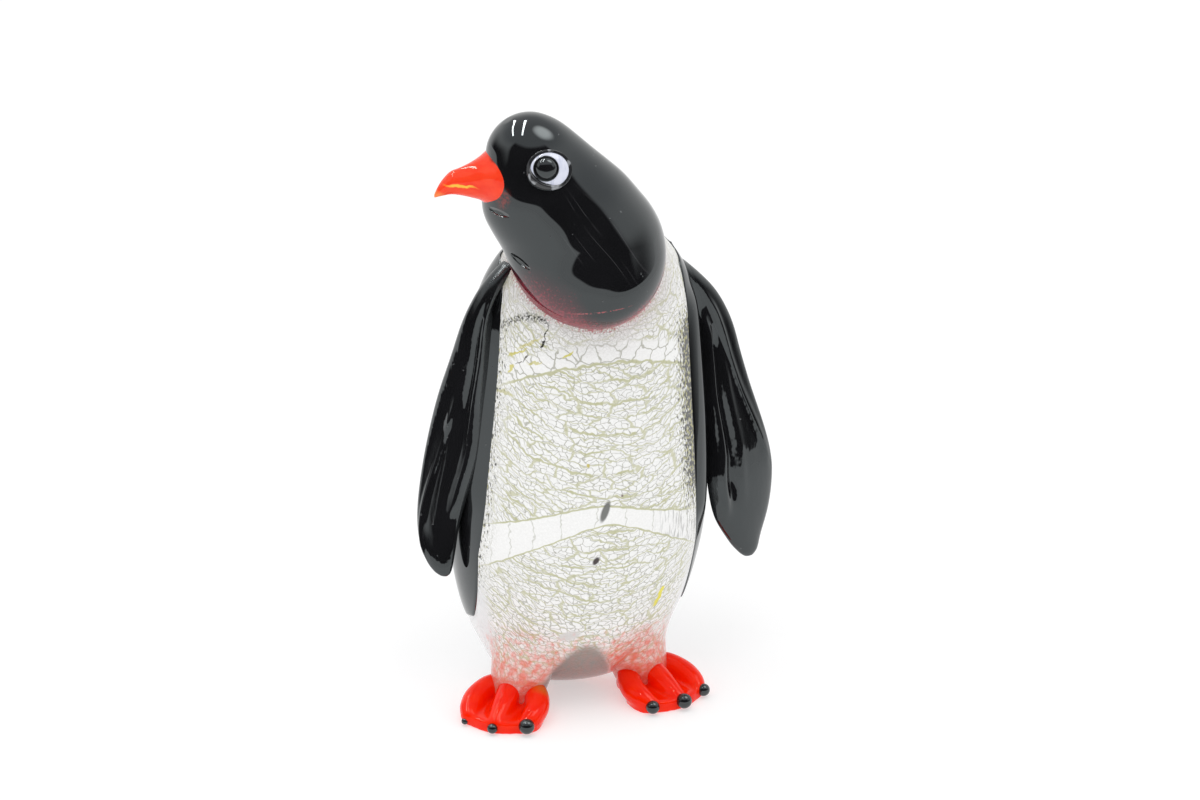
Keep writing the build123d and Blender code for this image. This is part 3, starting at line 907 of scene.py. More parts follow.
@dataclass(frozen=True)
class WhiteGlass:
    """Bluish white glass of the eyes, faintly ringed."""

    name: str = "white_glass"
    colour: Colour = (0.74, 0.765, 0.88)
    ringed: Colour = (0.60, 0.63, 0.78)
    thread: Row = (0.0004, 0.0012, 0.0022)

    def material(self) -> Material:
        """Wires the drawn rings and the gloss."""
        w = Surface(self.name)
        place = w.place()
        thread = w.noise(w.mapped(place, self.thread), 1.0, 2.0)
        w.set(
            Base_Color=w.blend(w.rise(thread, 0.40, 0.75), self.colour, self.ringed),
            Roughness=w.mad(thread, 0.05, 0.04), IOR=1.55,
            Normal=w.bump(w.noise(place, 400.0, 1.0), 0.00002),
        )
        return w.material


@dataclass(frozen=True)
class RimGlass:
    """Clear glass over the black hood: dark, with pale bubble spots that are partly painted highlights."""

    name: str = "rim_glass"
    colour: Colour = (0.022, 0.023, 0.025)
    # Colour of the pale bubble spots, partly painted highlights
    pale: Colour = (0.30, 0.31, 0.33)

    def material(self) -> Material:
        """Wires the pale bubble spots, partly painted highlights, and the gloss."""
        w = Surface(self.name)
        place = w.place()
        # Pale bubble spots, partly painted highlights
        bubbles_and_glints = w.rise(w.noise(place, 620.0, 1.0), 0.60, 0.72)
        w.set(
            Base_Color=w.blend(bubbles_and_glints, self.colour, self.pale),
            Roughness=w.mad(bubbles_and_glints, 0.05, 0.02), IOR=1.62,
            Normal=w.bump(w.noise(place, 500.0, 1.0), 0.00005),
        )
        return w.material


# The figure


@dataclass
class Body:
    """The clear gather with its leaf, and the black cape laid round its back."""

    width: float = 51.2
    depth: float = 43.0
    height: float = 95.0
    base: float = 2.0
    sway: float = 4.4
    girth: float = 23.5
    segments: int = 128
    # Height, and width of the window that the cape leaves open in front
    window_widths: tuple[Row, ...] = (
        (0.0, 41.0), (20.0, 41.6), (34.0, 42.8), (45.0, 40.9), (55.0, 39.4), (62.0, 38.2), (71.5, 36.8),
        (81.0, 35.8), (87.0, 34.4), (99.0, 29.0),
    )
    # Heights over which the leaf's dark sides end, and how far they are then held off
    sides_end: Row = (80.0, 88.0, 8.0)
    hem_front: float = 24.0
    hem_back: float = 8.0
    cape_wall: float = 1.1
    cape_grid: tuple[int, int] = (110, 72)
    # How far the cape stands proud of the belly, and how much more at its hem and shoulder
    cape_proud: float = 0.07
    edge_proud: float = 0.25
    hem_zone: Row = (34.0, 16.0)
    shoulder_zone: Row = (82.0, 88.0)
    # Its top edge and the drop of its front corners as shares of the height, and where the drop starts
    cape_top: float = 0.985
    corner_drop: float = 0.075
    corner: float = 0.74
    # Rounds in which the cape's heights settle, and the height they start from
    hem_rounds: int = 6
    cape_rounds: int = 5
    first_height: float = 50.0
    # Share of the height, then half width, half depth and set-back as shares
    levels: tuple[Row, ...] = (
        (0.0, 0.38, 0.34, 0.08), (0.012, 0.51, 0.48, 0.07), (0.035, 0.62, 0.60, 0.06),
        (0.075, 0.70, 0.71, 0.04), (0.13, 0.80, 0.82, 0.02), (0.19, 0.88, 0.91, 0.01),
        (0.26, 0.945, 0.97, 0.0), (0.34, 0.99, 1.0, -0.01), (0.43, 1.0, 0.985, -0.01),
        (0.55, 0.975, 0.93, 0.0), (0.69, 0.92, 0.85, 0.01), (0.80, 0.865, 0.775, 0.02),
        (0.86, 0.795, 0.705, 0.02), (0.90, 0.72, 0.635, 0.02), (0.935, 0.63, 0.555, 0.02),
        (0.967, 0.505, 0.45, 0.02), (1.0, 0.28, 0.27, 0.02),
    )
    rows: list[list[float]] = field(init=False)
    fine: list[list[float]] = field(init=False)

    def __post_init__(self) -> None:
        """Smooths the table of levels once, for the rings and more finely for what lies on them."""
        self.rows = spread(self.levels, 4)
        self.fine = spread(self.levels, 24)

    def level(self, z: float) -> tuple[float, float, float, float]:
        """Half width, half depth, side shift and set-back at a height."""
        share = (z - self.base) / self.height
        wide, deep, back = between(self.fine, share)
        return wide * self.width / 2, deep * self.depth / 2, self.sway * (share - 0.5), back * self.depth

    def skin(self) -> BMesh:
        """The whole closed gather."""
        loft = Loft(self.segments)
        for share, wide, deep, back in self.rows:
            middle = Vector((self.sway * (share - 0.5), back * self.depth, self.base + share * self.height))
            across = Vector((wide * self.width / 2, 0, 0))
            loft.ring(stand(middle, across, Vector((0, deep * self.depth / 2, 0)), UP))
        return loft.close()

    def on(self, angle: float, z: float, grow: float = 0.0) -> Vector:
        """Point of the skin at an angle from the front, towards the figure's left, and a height."""
        wide, deep, sway, back = self.level(z)
        return Vector((sway + (wide + grow) * math.sin(angle), back - (deep + grow) * math.cos(angle), z))

    def angle(self, point: Vector) -> float:
        """Angle of a point from the front, towards the figure's left."""
        wide, deep, sway, back = self.level(point.z)
        return math.atan2((point.x - sway) / wide, (back - point.y) / deep)

    def window(self, z: float) -> float:
        """Angle at which the cape's edge stands at a height."""
        wide = self.level(z)[0]
        half = between(self.window_widths, z)[0] / 2
        return math.asin(min(half / wide, 1.0))

    def lay_out(self, mesh: BMesh, hood: BVHTree, rosy: float = 0.0) -> None:
        """Writes the leaf's own places on a mesh.

        Args:
            mesh: the belly or a leg.
            hood: the hood's skin, for the distance from the collar.
            rosy: 1 where the rosy tint goes all round, as on a leg.
        """
        places = mesh.verts.layers.float_vector.new("leaf_place")
        gaps = mesh.verts.layers.float_vector.new("rim_gap")
        collar = mesh.verts.layers.float.new("collar")
        for vert in mesh.verts:
            angle = self.angle(vert.co)
            edge = self.window(vert.co.z)
            far = ease(*self.sides_end[:2], vert.co.z) * self.sides_end[2]
            vert[places] = Vector((angle * self.girth, vert.co.z, rosy))
            vert[gaps] = Vector(((edge + angle) * self.girth + far, (edge - angle) * self.girth + far, 0.0))
            vert[collar] = hood.find_nearest(vert.co)[3]

    def hem(self, angle: float) -> float:
        """Height of the cape's lower edge at an angle."""
        z = middle = (self.hem_front + self.hem_back) / 2
        for _ in range(self.hem_rounds):
            z = middle - self.on(angle, z).y * (self.hem_front - self.hem_back) / self.depth
        return z

    def proud(self, z: float) -> float:
        """How far the cape stands proud of the belly at a height."""
        return self.cape_proud + self.edge_proud * max(ease(*self.hem_zone, z), ease(*self.shoulder_zone, z))

    def cape(self) -> BMesh:
        """The sheet of black glass from one window edge round the back to the other."""
        mesh = bmesh.new()
        bmesh.ops.create_grid(mesh, x_segments=self.cape_grid[0], y_segments=self.cape_grid[1], size=1.0)
        for vert in mesh.verts:
            turn, rise = vert.co.x, (vert.co.y + 1.0) / 2
            top = self.cape_top - self.corner_drop * ease(self.corner, 1.0, abs(turn))
            z = self.first_height
            for _ in range(self.cape_rounds):
                angle = math.pi - turn * (math.pi - self.window(z))
                low = self.hem(angle)
                z = low + rise * (self.base + self.height * top - low)
            vert.co = self.on(angle, z, self.proud(z))
        mesh.normal_update()
        if sum(face.normal.xy.dot(face.calc_center_median().xy) for face in mesh.faces) < 0:
            bmesh.ops.reverse_faces(mesh, faces=mesh.faces)
        return mesh

    def build(self, hood: BVHTree, leaf: Material, black: Material) -> None:
        """Makes the belly and the cape."""
        belly = self.skin()
        self.lay_out(belly, hood)
        piece(belly, "belly", leaf, Slot.LEAF, ("clear_casing", "silver_leaf", "glass_core"))
        piece(self.cape(), "cape", black, Slot.BLACK, ("black_cape",), wall=self.cape_wall)


@dataclass
class Head:
    """The black hood of head and neck, its beak and its eyes."""

    diameter: float = 29.2
    length: float = 44.8
    lean: float = 30.0
    neck: Row = (0.35, -7.2, 92.9)
    neck_share: float = 0.326
    head_share: float = 0.817
    beak_length: float = 7.8
    beak_height: float = 11.4
    beak_width: float = 12.4
    beak_drop: float = 6.6
    eye_below: float = 1.2
    eye_back: float = 10.0
    eye_half: float = 3.6
    eye_corners: int = 40
    pupil_corners: int = 36
    pupil_seat: Row = (0.74, -0.25, 0.82)
    pupil_tilt: float = 0.12
    rim: float = 4.3
    oval: float = 0.88
    # Way to the ring's thick side, the shares of the radius over which it swells, by how much it
    # widens, and the share of its height that stays and that the swelling adds
    thick_side: Row = (0.57, 0.82)
    swelling: Row = (0.15, 0.95)
    widens: float = 1.1
    ring_height: Row = (0.30, 2.2)
    hood_corners: int = 96
    beak_corners: int = 48
    # Share of the length, then reach to the face, the nape and the side as shares of the radius
    levels: tuple[Row, ...] = (
        (0.0, 0.09, 0.09, 0.12), (0.008, 0.23, 0.23, 0.31), (0.035, 0.455, 0.455, 0.60),
        (0.09, 0.695, 0.695, 0.84), (0.17, 0.88, 0.88, 1.0), (0.26, 0.98, 0.98, 1.04),
        (0.35, 0.995, 1.0, 1.02), (0.44, 0.965, 0.965, 0.955), (0.533, 0.925, 0.915, 0.865),
        (0.62, 0.92, 0.83, 0.78), (0.70, 0.895, 0.745, 0.70), (0.77, 0.80, 0.675, 0.635),
        (0.85, 0.625, 0.59, 0.57), (0.906, 0.50, 0.50, 0.495), (0.955, 0.375, 0.375, 0.375),
        (0.985, 0.23, 0.23, 0.23), (1.0, 0.08, 0.08, 0.08),
    )
    # Reach and drop of each ring, then its height and width
    beak_rows: tuple[Row, ...] = (
        (-0.80, 0.66, 1.34, 1.22), (-0.52, 0.64, 1.20, 1.05), (-0.36, 0.61, 1.02, 0.93),
        (-0.12, 0.57, 0.725, 0.66), (0.12, 0.60, 0.573, 0.51), (0.365, 0.62, 0.455, 0.40),
        (0.61, 0.65, 0.37, 0.31), (0.85, 0.82, 0.22, 0.19), (1.0, 1.0, 0.05, 0.055),
    )
    white_profile: tuple[Row, ...] = (
        (3.62, -1.4), (3.62, 0.1), (3.52, 0.40), (3.2, 0.62), (2.5, 0.95), (1.6, 1.21), (0.8, 1.36),
        (0.2, 1.40),
    )
    pupil_profile: tuple[Row, ...] = (
        (2.36, -0.5), (2.40, 0.12), (2.34, 0.34), (2.18, 0.40), (2.05, 0.30), (1.98, 0.42), (1.84, 0.80),
        (1.45, 1.18), (0.8, 1.42), (0.2, 1.48),
    )
    rim_profile: tuple[Row, ...] = (
        (4.28, -0.9), (4.30, 0.05), (4.20, 0.33), (3.98, 0.47), (3.74, 0.45), (3.56, 0.28), (3.50, -0.1),
        (3.50, -0.9),
    )
    beak_glass: OrangeGlass = OrangeGlass(
        "beak_glass", (1.0, 0.064, 0.022), (0.92, 0.032, 0.010),
        spots=(
            # Painted yellow highlight along the mouth line
            ((-24.1, -9.6, 107.6), (0.0027, 0.003, 0.00028), (0, 4, 0), 1.0, (1.0, 0.58, 0.06)),
            # Painted light: the thin tip glows lighter, as light passes through it
            ((-28.2, -7.5, 105.4), (0.0013, 0.002, 0.0010), ORIGIN, 0.8, (1.0, 0.30, 0.09)),
            # Dark at the root's lower side: black glass over the root, and painted shade under it
            ((-16.6, -13.0, 104.6), (0.0010, 0.003, 0.0010), ORIGIN, 0.9, (0.03, 0.005, 0.004)),
            ((-16.0, -13.2, 102.6), (0.0012, 0.003, 0.0008), (0, 30, 0), 0.8, (0.05, 0.008, 0.006)),
            ((-17.6, -11.0, 112.8), (0.0009, 0.003, 0.0007), ORIGIN, 0.9, (0.04, 0.01, 0.01)),
        ),
    )
    rows: list[list[float]] = field(init=False)
    ahead: Vector = field(init=False)
    axis: Vector = field(init=False)
    across: Vector = field(init=False)
    face: Vector = field(init=False)

    def __post_init__(self) -> None:
        """Smooths the hood's table and settles its axes."""
        self.rows = spread(self.levels, 4)
        lean = math.radians(self.lean)
        self.ahead = Vector((-1.0, 0.0, 0.0))
        self.axis = self.ahead * math.sin(lean) + UP * math.cos(lean)
        self.across = self.ahead.cross(UP)
        self.face = -self.across.cross(self.axis)

    def point(self, share: float) -> Vector:
        """Point of the leaning axis at a share of the length."""
        return Vector(self.neck) + self.axis * ((share - self.neck_share) * self.length)

    def skin(self) -> BMesh:
        """The closed hood."""
        loft = Loft(self.hood_corners)
        for share, to_face, to_nape, to_side in self.rows:
            front, rear, side = (r * self.diameter / 2 for r in (to_face, to_nape, to_side))
            middle = self.point(share) + self.face * ((front - rear) / 2)
            loft.ring(stand(middle, self.across * side, self.face * ((front + rear) / 2), self.axis))
        return loft.close()

    def side_reach(self, share: float) -> float:
        """Reach of the hood's side at a share of its length."""
        return between(self.rows, share)[2] * self.diameter / 2

    def eye_seat(self, side: Side) -> tuple[Vector, Vector]:
        """Place and outward direction of one eye."""
        across = self.across * -side.value
        share = self.head_share - self.eye_below / self.length
        half = self.eye_half / self.length
        nearer = self.side_reach(share - half) - self.side_reach(share + half)
        slope, back = math.atan2(nearer, 2 * self.eye_half), math.radians(self.eye_back)
        radial = across * math.cos(back) - self.face * math.sin(back)
        seat = self.point(share) + radial * self.side_reach(share)
        return seat, radial * math.cos(slope) + self.axis * math.sin(slope)

    def beak(self) -> BMesh:
        """The hooked beak, its root inside the hood."""
        reach_face = between(self.rows, self.head_share)[0] * self.diameter / 2
        loft = Loft(self.beak_corners)
        for reach, drop, high, wide in spread(self.beak_rows, 4):
            middle = self.point(self.head_share) + self.ahead * (reach_face + reach * self.beak_length)
            middle -= UP * (drop * self.beak_drop)
            tall = UP * (high * self.beak_height / 2)
            loft.ring(stand(middle, self.across * (wide * self.beak_width / 2), tall, self.ahead))
        return loft.close()

    def eye(self, side: Side, rim: Material, white: Material, black: Material) -> None:
        """Makes one eye: a clear ring, a white dome and a pupil set towards the beak."""
        seat, out = self.eye_seat(side)
        along = (self.ahead - out * self.ahead.dot(out)).normalized()
        place = stand(seat, along, out.cross(along), out)
        squash = Matrix.Diagonal((1.0, self.oval, 1.0, 1.0))
        dome = turned(place @ squash, self.white_profile, self.eye_corners)
        piece(dome, f"{side.word}_eye_dome", white, Slot.WHITE, (f"{side.word}_eye_white",))
        piece(self.ring(side, place), f"{side.word}_eye_ring", rim, Slot.CLEAR, (f"{side.word}_eye_rim",))
        bead = place @ Matrix.Translation(self.pupil_seat) @ Matrix.Rotation(self.pupil_tilt, 4, "Y")
        pupil = turned(bead, self.pupil_profile, self.pupil_corners)
        piece(pupil, f"{side.word}_eye_bead", black, Slot.BLACK, (f"{side.word}_pupil",))

    def ring(self, side: Side, place: Matrix) -> BMesh:
        """The clear ring, thicker towards its lower front."""
        ring = turned(place, self.rim_profile, self.eye_corners)
        flat = place.inverted()
        ahead, down = self.thick_side
        thin, more = self.ring_height
        for vert in ring.verts:
            local = flat @ vert.co
            low = ease(*self.swelling, (local.x * ahead + local.y * side.value * down) / self.rim)
            reach = math.hypot(local.x, local.y)
            inward = (self.rim - (self.rim - reach) * (1.0 + self.widens * low)) / reach
            spot = (local.x * inward, local.y * inward * self.oval, local.z * (thin + more * low))
            vert.co = place @ Vector(spot)
        return ring

    def collar_reach(self, point: Vector) -> float:
        """How far the crimson edge reaches up at a point of the hood: furthest at its right front."""
        front = ease(8.0, 18.0, -point.y)
        return 4.0 + 1.2 * front + 3.6 * ease(1.0, -6.0, point.x) * front + 0.9 * ease(2.0, 9.0, point.x)

    def build(self, body: BVHTree, black: Material) -> None:
        """Makes the hood, the beak and both eyes.

        Args:
            body: the body's skin, for the distance from the collar.
            black: the plain black finish.
        """
        hood = self.skin()
        collar = hood.verts.layers.float.new("collar")
        for vert in hood.verts:
            spot, normal, _, gap = body.find_nearest(vert.co)
            vert[collar] = math.copysign(gap, (vert.co - spot).dot(normal)) / self.collar_reach(vert.co)
        finish = HoodGlass(lean=self.lean, neck=self.neck)
        piece(hood, "hood_bulb", finish.material(), Slot.BLACK, ("hood",))
        piece(self.beak(), "beak_hook", self.beak_glass.material(), Slot.ORANGE, ("beak",))
        rim, white = RimGlass().material(), WhiteGlass().material()
        for side in Side:
            self.eye(side, rim, white, black)


@dataclass
class Wing:
    """One pressed black flipper with folds drawn down it."""

    side: Side
    below: float
    length: float
    # Drop, angle round the body, stand-off, chord, thickness and turn of each section
    sections: tuple[Row, ...]
    # Face of a fold (+1 or -1), its start and end along the wing, its place across the chord at each,
    # its width and its height
    folds: tuple[Row, ...]
    chord: float = 14.6
    thickness: float = 5.0
    corners: int = 72
    # Shares of the length over which a fold sets in and ends
    sets_in: float = 0.07
    ends: float = 0.08

    def shape(self, drop: float) -> Bend:
        """How a section's outline departs from an oval at a share of the length."""
        lines = []
        for face, start, end, first, last, width, height in self.folds:
            middle = first + (last - first) * ease(start, end, drop)
            reach = ease(start, start + self.sets_in, drop) * (1.0 - ease(end - self.ends, end, drop))
            lines.append((face, middle, width, height * reach))

        def bend(point: Vector) -> Vector:
            """Lifts or sinks the folds."""
            y = point.y
            for face, middle, width, height in lines:
                if face * point.y > 0:
                    y += face * height * bell(point.x, middle, width) * min(abs(point.y) * 2.0, 1.0)
            return Vector((point.x, y, 0.0))

        return bend

    def build(self, body: Body, black: Material) -> None:
        """Makes the wing against the body's side."""
        top = body.base + body.height - self.below
        side = self.side.value
        loft = Loft(self.corners)
        for drop, around, off, chord, thick, turn in spread(self.sections, 5):
            z = top - drop * self.length
            angle, swing = math.radians(around), math.radians(turn)
            middle = body.on(side * angle, z, off * self.chord)
            outward = Vector((side * math.sin(angle), -math.cos(angle), 0.0))
            tangent = Vector((side * math.cos(angle), math.sin(angle), 0.0))
            along = tangent * math.cos(swing) + outward * math.sin(swing)
            sides = along * (chord * self.chord / 2), UP.cross(along) * (thick * self.thickness / 2)
            loft.ring(stand(middle, *sides, UP), self.shape(drop))
        piece(loft.close(), f"{self.side.word}_flipper", black, Slot.BLACK, (f"{self.side.word}_wing",))


# Each wing with its finish
WINGS = (
    (Wing(
        Side.RIGHT, 7.0, 62.6,
        (
            (0.0, 74, -0.07, 0.26, 0.72, 36), (0.076, 72, 0.06, 0.31, 0.90, 40),
            (0.257, 72, 0.07, 0.54, 1.0, 39), (0.414, 74.2, 0.103, 0.71, 1.0, 37),
            (0.574, 75.4, 0.135, 0.80, 1.0, 36), (0.704, 77.2, 0.195, 0.74, 1.0, 34.5),
            (0.804, 78.5, 0.237, 0.66, 0.95, 33.5), (0.888, 79, 0.25, 0.57, 0.84, 33),
            (0.952, 79, 0.248, 0.42, 0.64, 33), (0.985, 78.7, 0.238, 0.27, 0.44, 33),
            (1.0, 78.5, 0.23, 0.12, 0.20, 33.5),
        ),
        (
            (1, 0.40, 0.97, 0.14, 0.70, 0.10, 0.24), (1, 0.40, 0.86, 0.10, -0.22, 0.09, 0.24),
            (1, 0.46, 0.86, 0.12, 0.20, 0.16, -0.20), (1, 0.06, 0.80, -0.70, -0.76, 0.16, 0.30),
            (1, 0.10, 0.62, -0.30, -0.48, 0.12, -0.22), (-1, 0.1, 0.9, 0.0, 0.0, 0.3, -0.2),
        ),
    ), WingGlass("right_wing_glass", swell=0.08, curl=75.0, fan=0.0)),
    (Wing(
        Side.LEFT, 9.5, 63.8,
        (
            (0.0, 90, -0.14, 0.34, 0.80, 40), (0.095, 90, 0.05, 0.48, 0.92, 55),
            (0.21, 90, 0.19, 0.60, 1.0, 62), (0.33, 90, 0.25, 0.72, 1.0, 64),
            (0.445, 90, 0.31, 0.86, 1.0, 65), (0.61, 90, 0.45, 1.02, 1.0, 65),
            (0.72, 90, 0.50, 1.11, 1.0, 65), (0.835, 90, 0.578, 0.95, 0.92, 65),
            (0.93, 90, 0.71, 0.565, 0.70, 65), (0.98, 90, 0.82, 0.32, 0.46, 65),
            (1.0, 90, 0.86, 0.14, 0.24, 65),
        ),
        (
            (-1, 0.16, 0.86, -0.70, -0.74, 0.16, 0.42), (-1, 0.20, 0.80, -0.42, -0.44, 0.13, -0.42),
            (-1, 0.04, 0.78, 1.00, 1.10, 0.55, 0.10), (-1, 0.10, 0.72, -0.05, 0.72, 0.12, 0.20),
            (-1, 0.30, 0.82, -0.12, -0.16, 0.10, 0.12), (1, 0.1, 0.9, -0.2, -0.2, 0.3, -0.2),
        ),
    ), WingGlass("left_wing_glass")),
)


@dataclass
class Foot:
    """One leg stub and its foot: three drawn toes, a web between them and bead claws."""

    side: Side
    ankle: tuple[float, float]
    turn: float
    claw_sizes: dict[Toe, float]
    length: float = 13.4
    width: float = 16.4
    rise: float = 7.0
    toe: float = 4.2
    web: float = 2.4
    leg_foot: float = 10.4
    leg_body: float = 16.5
    leg_rise: float = 15.0
    leg_inset: float = 0.70
    leg_corners: int = 56
    leg_rings: int = 16
    leg_start: float = 1.4
    leg_flare: float = 2.0
    # Shares of the leg from which it flares and from which it hugs the body, and how closely it does
    flares_from: float = 0.45
    hugs_from: float = 0.40
    hug: float = 0.97
    claw_gap: float = 0.3
    # Height and radius of the ends of the knob under the ankle
    knob: tuple[Row, ...] = ((1.2, 5.0), (3.4, 4.7))
    knob_corners: int = 28
    # Grain of the melt and rounds of smoothing after it
    melt: tuple[float, int] = (0.32, 7)
    # Forward share of the length and side share of half the width, from the heel to the front
    heel: Row = (-0.40, 0.0)
    front: Row = (1.0, 0.0)
    web_outline: tuple[Row, ...] = ((-0.22, 0.52), (0.10, 0.70), (0.42, 0.96), (0.76, 0.94), (0.92, 0.52))
    # The same shares for a point on a claw's toe and for the claw's seat at its end
    side_claw: tuple[Row, Row] = ((0.36, 0.78), (0.72, 0.78))
    middle_claw: tuple[Row, Row] = ((0.52, 0.0), (0.86, 0.0))
    # The same shares, then the share of the rise and that of the toe's thickness
    middle_route: tuple[Row, ...] = (
        (0.02, 0.0, 0.74, 1.15), (0.26, 0.0, 0.66, 1.15), (0.55, 0.0, 0.48, 1.08), (0.88, 0.0, 0.24, 0.84),
    )
    side_route: tuple[Row, ...] = (
        (0.0, 0.22, 0.60, 1.05), (0.12, 0.56, 0.58, 1.14), (0.38, 0.77, 0.45, 1.16), (0.62, 0.78, 0.33, 1.08),
        (0.77, 0.72, 0.24, 0.88),
    )

    def axes(self) -> tuple[Vector, Vector, Vector]:
        """Ankle on the table, and the foot's forward and outward directions."""
        side, turn = self.side.value, math.radians(self.turn)
        forward = Vector((side * math.sin(turn), -math.cos(turn), 0.0))
        return Vector((*self.ankle, 0.0)), forward, Vector((side * math.cos(turn), math.sin(turn), 0.0))

    def spot(self, ahead: float, aside: float, rise: float = 0.0) -> Vector:
        """Point by shares of the foot's length, half width and rise."""
        ankle, forward, outward = self.axes()
        flat = ankle + forward * (ahead * self.length) + outward * (aside * self.width / 2)
        return flat + UP * (rise * self.rise)

    def route(self, toe: Toe) -> list[list[float]]:
        """Points and radii of one toe."""
        rows = self.side_route if toe.value else self.middle_route
        return [[*self.spot(f, s * toe.value, r), thick * self.toe / 2] for f, s, r, thick in rows]

    def foot(self) -> BMesh:
        """Toes, web and ankle melted together and set down flat."""
        mesh = bmesh.new()
        for toe in self.claw_sizes:
            tube(mesh, self.route(toe))
        ankle = self.axes()[0]
        tube(mesh, [[*(ankle + UP * high), radius] for high, radius in self.knob], self.knob_corners)
        mirrored = [(f, -s) for f, s in reversed(self.web_outline)]
        rows = spread([self.heel, *self.web_outline, self.front, *mirrored, self.heel], 6)[:-1]
        plate = bmesh.new()
        corners = bmesh.ops.create_circle(plate, segments=len(rows), radius=1.0)["verts"]
        for vert, (ahead, aside) in zip(corners, rows):
            vert.co = self.spot(ahead, aside)
        sole = bmesh.ops.contextual_create(plate, geom=corners)["faces"]
        lifted = bmesh.ops.extrude_face_region(plate, geom=sole)["geom"]
        upper = [part for part in lifted if isinstance(part, bmesh.types.BMVert)]
        bmesh.ops.translate(plate, vec=(0, 0, self.web), verts=upper)
        bmesh.ops.recalc_face_normals(plate, faces=plate.faces)
        add(mesh, plate)
        skin = fused(mesh, *self.melt)
        for vert in skin.verts:
            vert.co.z = max(vert.co.z, 0.0)
        return skin

    def leg(self, body: Body, skin: BVHTree) -> BMesh:
        """A stub that rises from the foot and flares out over the body."""
        ankle = self.axes()[0]
        inner = ankle * self.leg_inset
        loft = Loft(self.leg_corners)
        for index in range(self.leg_rings + 1):
            t = index / self.leg_rings
            high = self.leg_start + t * (body.base + self.leg_rise - self.leg_start)
            middle = ankle.lerp(inner, t) + UP * high
            radius = (self.leg_foot + (self.leg_body - self.leg_foot) * t) / 2
            radius += self.leg_flare * ease(self.flares_from, 1.0, t)
            ring = loft.ring(stand(middle, Vector((radius, 0, 0)), Vector((0, radius, 0)), UP))
            pull = ease(self.hugs_from, 1.0, t)
            for vert in ring:
                spot, normal, _, _ = skin.find_nearest(vert.co)
                outside = max((vert.co - spot).dot(normal), 0.0)
                vert.co = vert.co - normal * (outside * pull * self.hug)
        return loft.close()

    def claw(self, toe: Toe, size: float) -> BMesh:
        """A bead at the end of a toe, drawn out a little along it."""
        shares = self.side_claw if toe.value else self.middle_claw
        before, end = (self.spot(f, s * toe.value) for f, s in shares)
        ahead = (end - before).normalized()
        radius = size / 2
        seat = end + ahead * (self.toe / 2) + UP * (radius + self.claw_gap)
        mesh = bmesh.new()
        bmesh.ops.create_icosphere(mesh, subdivisions=3, radius=radius)
        for vert in mesh.verts:
            tail = ease(-0.2, 1.0, -vert.co.x / radius)
            drawn = (1.0 + 0.25 * tail, 1.0 - 0.12 * tail, 0.97 - 0.10 * tail)
            vert.co = [part * much for part, much in zip(vert.co, drawn)]
        bmesh.ops.transform(mesh, matrix=stand(seat, ahead, UP.cross(ahead), UP), verts=mesh.verts)
        return mesh

    def build(
        self, body: Body, skin: BVHTree, hood: BVHTree, leaf: Material, orange: Material, black: Material
    ) -> None:
        """Makes the leg, the foot and its claws.

        Args:
            body: the body, which lays out the leaf on the leg.
            skin: the body's skin, which the leg hugs.
            hood: the hood's skin, for the distance from the collar.
            leaf: finish of the leg.
            orange: finish of the foot.
            black: finish of the claws.
        """
        word = self.side.word
        leg = self.leg(body, skin)
        body.lay_out(leg, hood, 1.0)
        piece(leg, f"{word}_leg_stub", leaf, Slot.ROSY, (f"{word}_leg",))
        piece(self.foot(), f"{word}_foot_web", orange, Slot.ORANGE, (f"{word}_foot",))
        for toe, size in self.claw_sizes.items():
            name = f"{word}_{toe.word}"
            piece(self.claw(toe, size), f"{name}_bead", black, Slot.BLACK, (f"{name}_claw",))


FEET = (
    Foot(Side.RIGHT, (-14.8, -9.2), 30.0, {Toe.OUTER: 1.41, Toe.MIDDLE: 2.11, Toe.INNER: 3.2}),
    Foot(Side.LEFT, (11.5, -6.0), 25.0, {Toe.INNER: 2.82, Toe.MIDDLE: 3.2, Toe.OUTER: 2.69}),
)
FOOT_GLASS = OrangeGlass(
    "foot_glass", (1.0, 0.020, 0.001), (0.96, 0.011, 0.0), 1.35,
    spots=(
        ((-10.9, -14.4, 4.5), (0.0016, 0.0022, 0.0022), ORIGIN, 0.6, (0.60, 0.22, 0.02)),
        ((9.3, -8.9, 6.0), (0.0009, 0.0012, 0.0020), ORIGIN, 0.7, (0.90, 0.34, 0.03)),
    ),
)


@dataclass
class Tail:
    """The short black tab behind, which shares the table with the feet."""

    width: float = 17.0
    thickness: float = 8.0
    rise: float = 14.0
    sink: float = 7.5
    lean: float = 9.2
    corners: int = 48
    # Height, lean, width and thickness of each section
    sections: tuple[Row, ...] = (
        (1.0, 0.0, 0.80, 1.0), (0.62, 0.40, 1.0, 1.0), (0.30, 0.75, 0.90, 0.86), (0.09, 0.93, 0.73, 0.74),
        (0.025, 0.985, 0.66, 0.62), (0.0, 1.0, 0.58, 0.50),
    )

    def build(self, body: Body, black: Material) -> None:
        """Makes the tab, its lower end flat on the table."""
        top = body.base + self.rise
        _, deep, sway, back = body.level(top)
        root = back + deep - self.sink
        loft = Loft(self.corners)
        for high, lean, wide, thick in spread(self.sections, 4):
            middle = Vector((sway, root + lean * self.lean, max(high, 0.0) * top))
            across = Vector((wide * self.width / 2, 0, 0))
            loft.ring(stand(middle, across, Vector((0, thick * self.thickness / 2, 0)), UP))
        piece(loft.close(), "tail_tab", black, Slot.BLACK, ("tail",))


# The studio


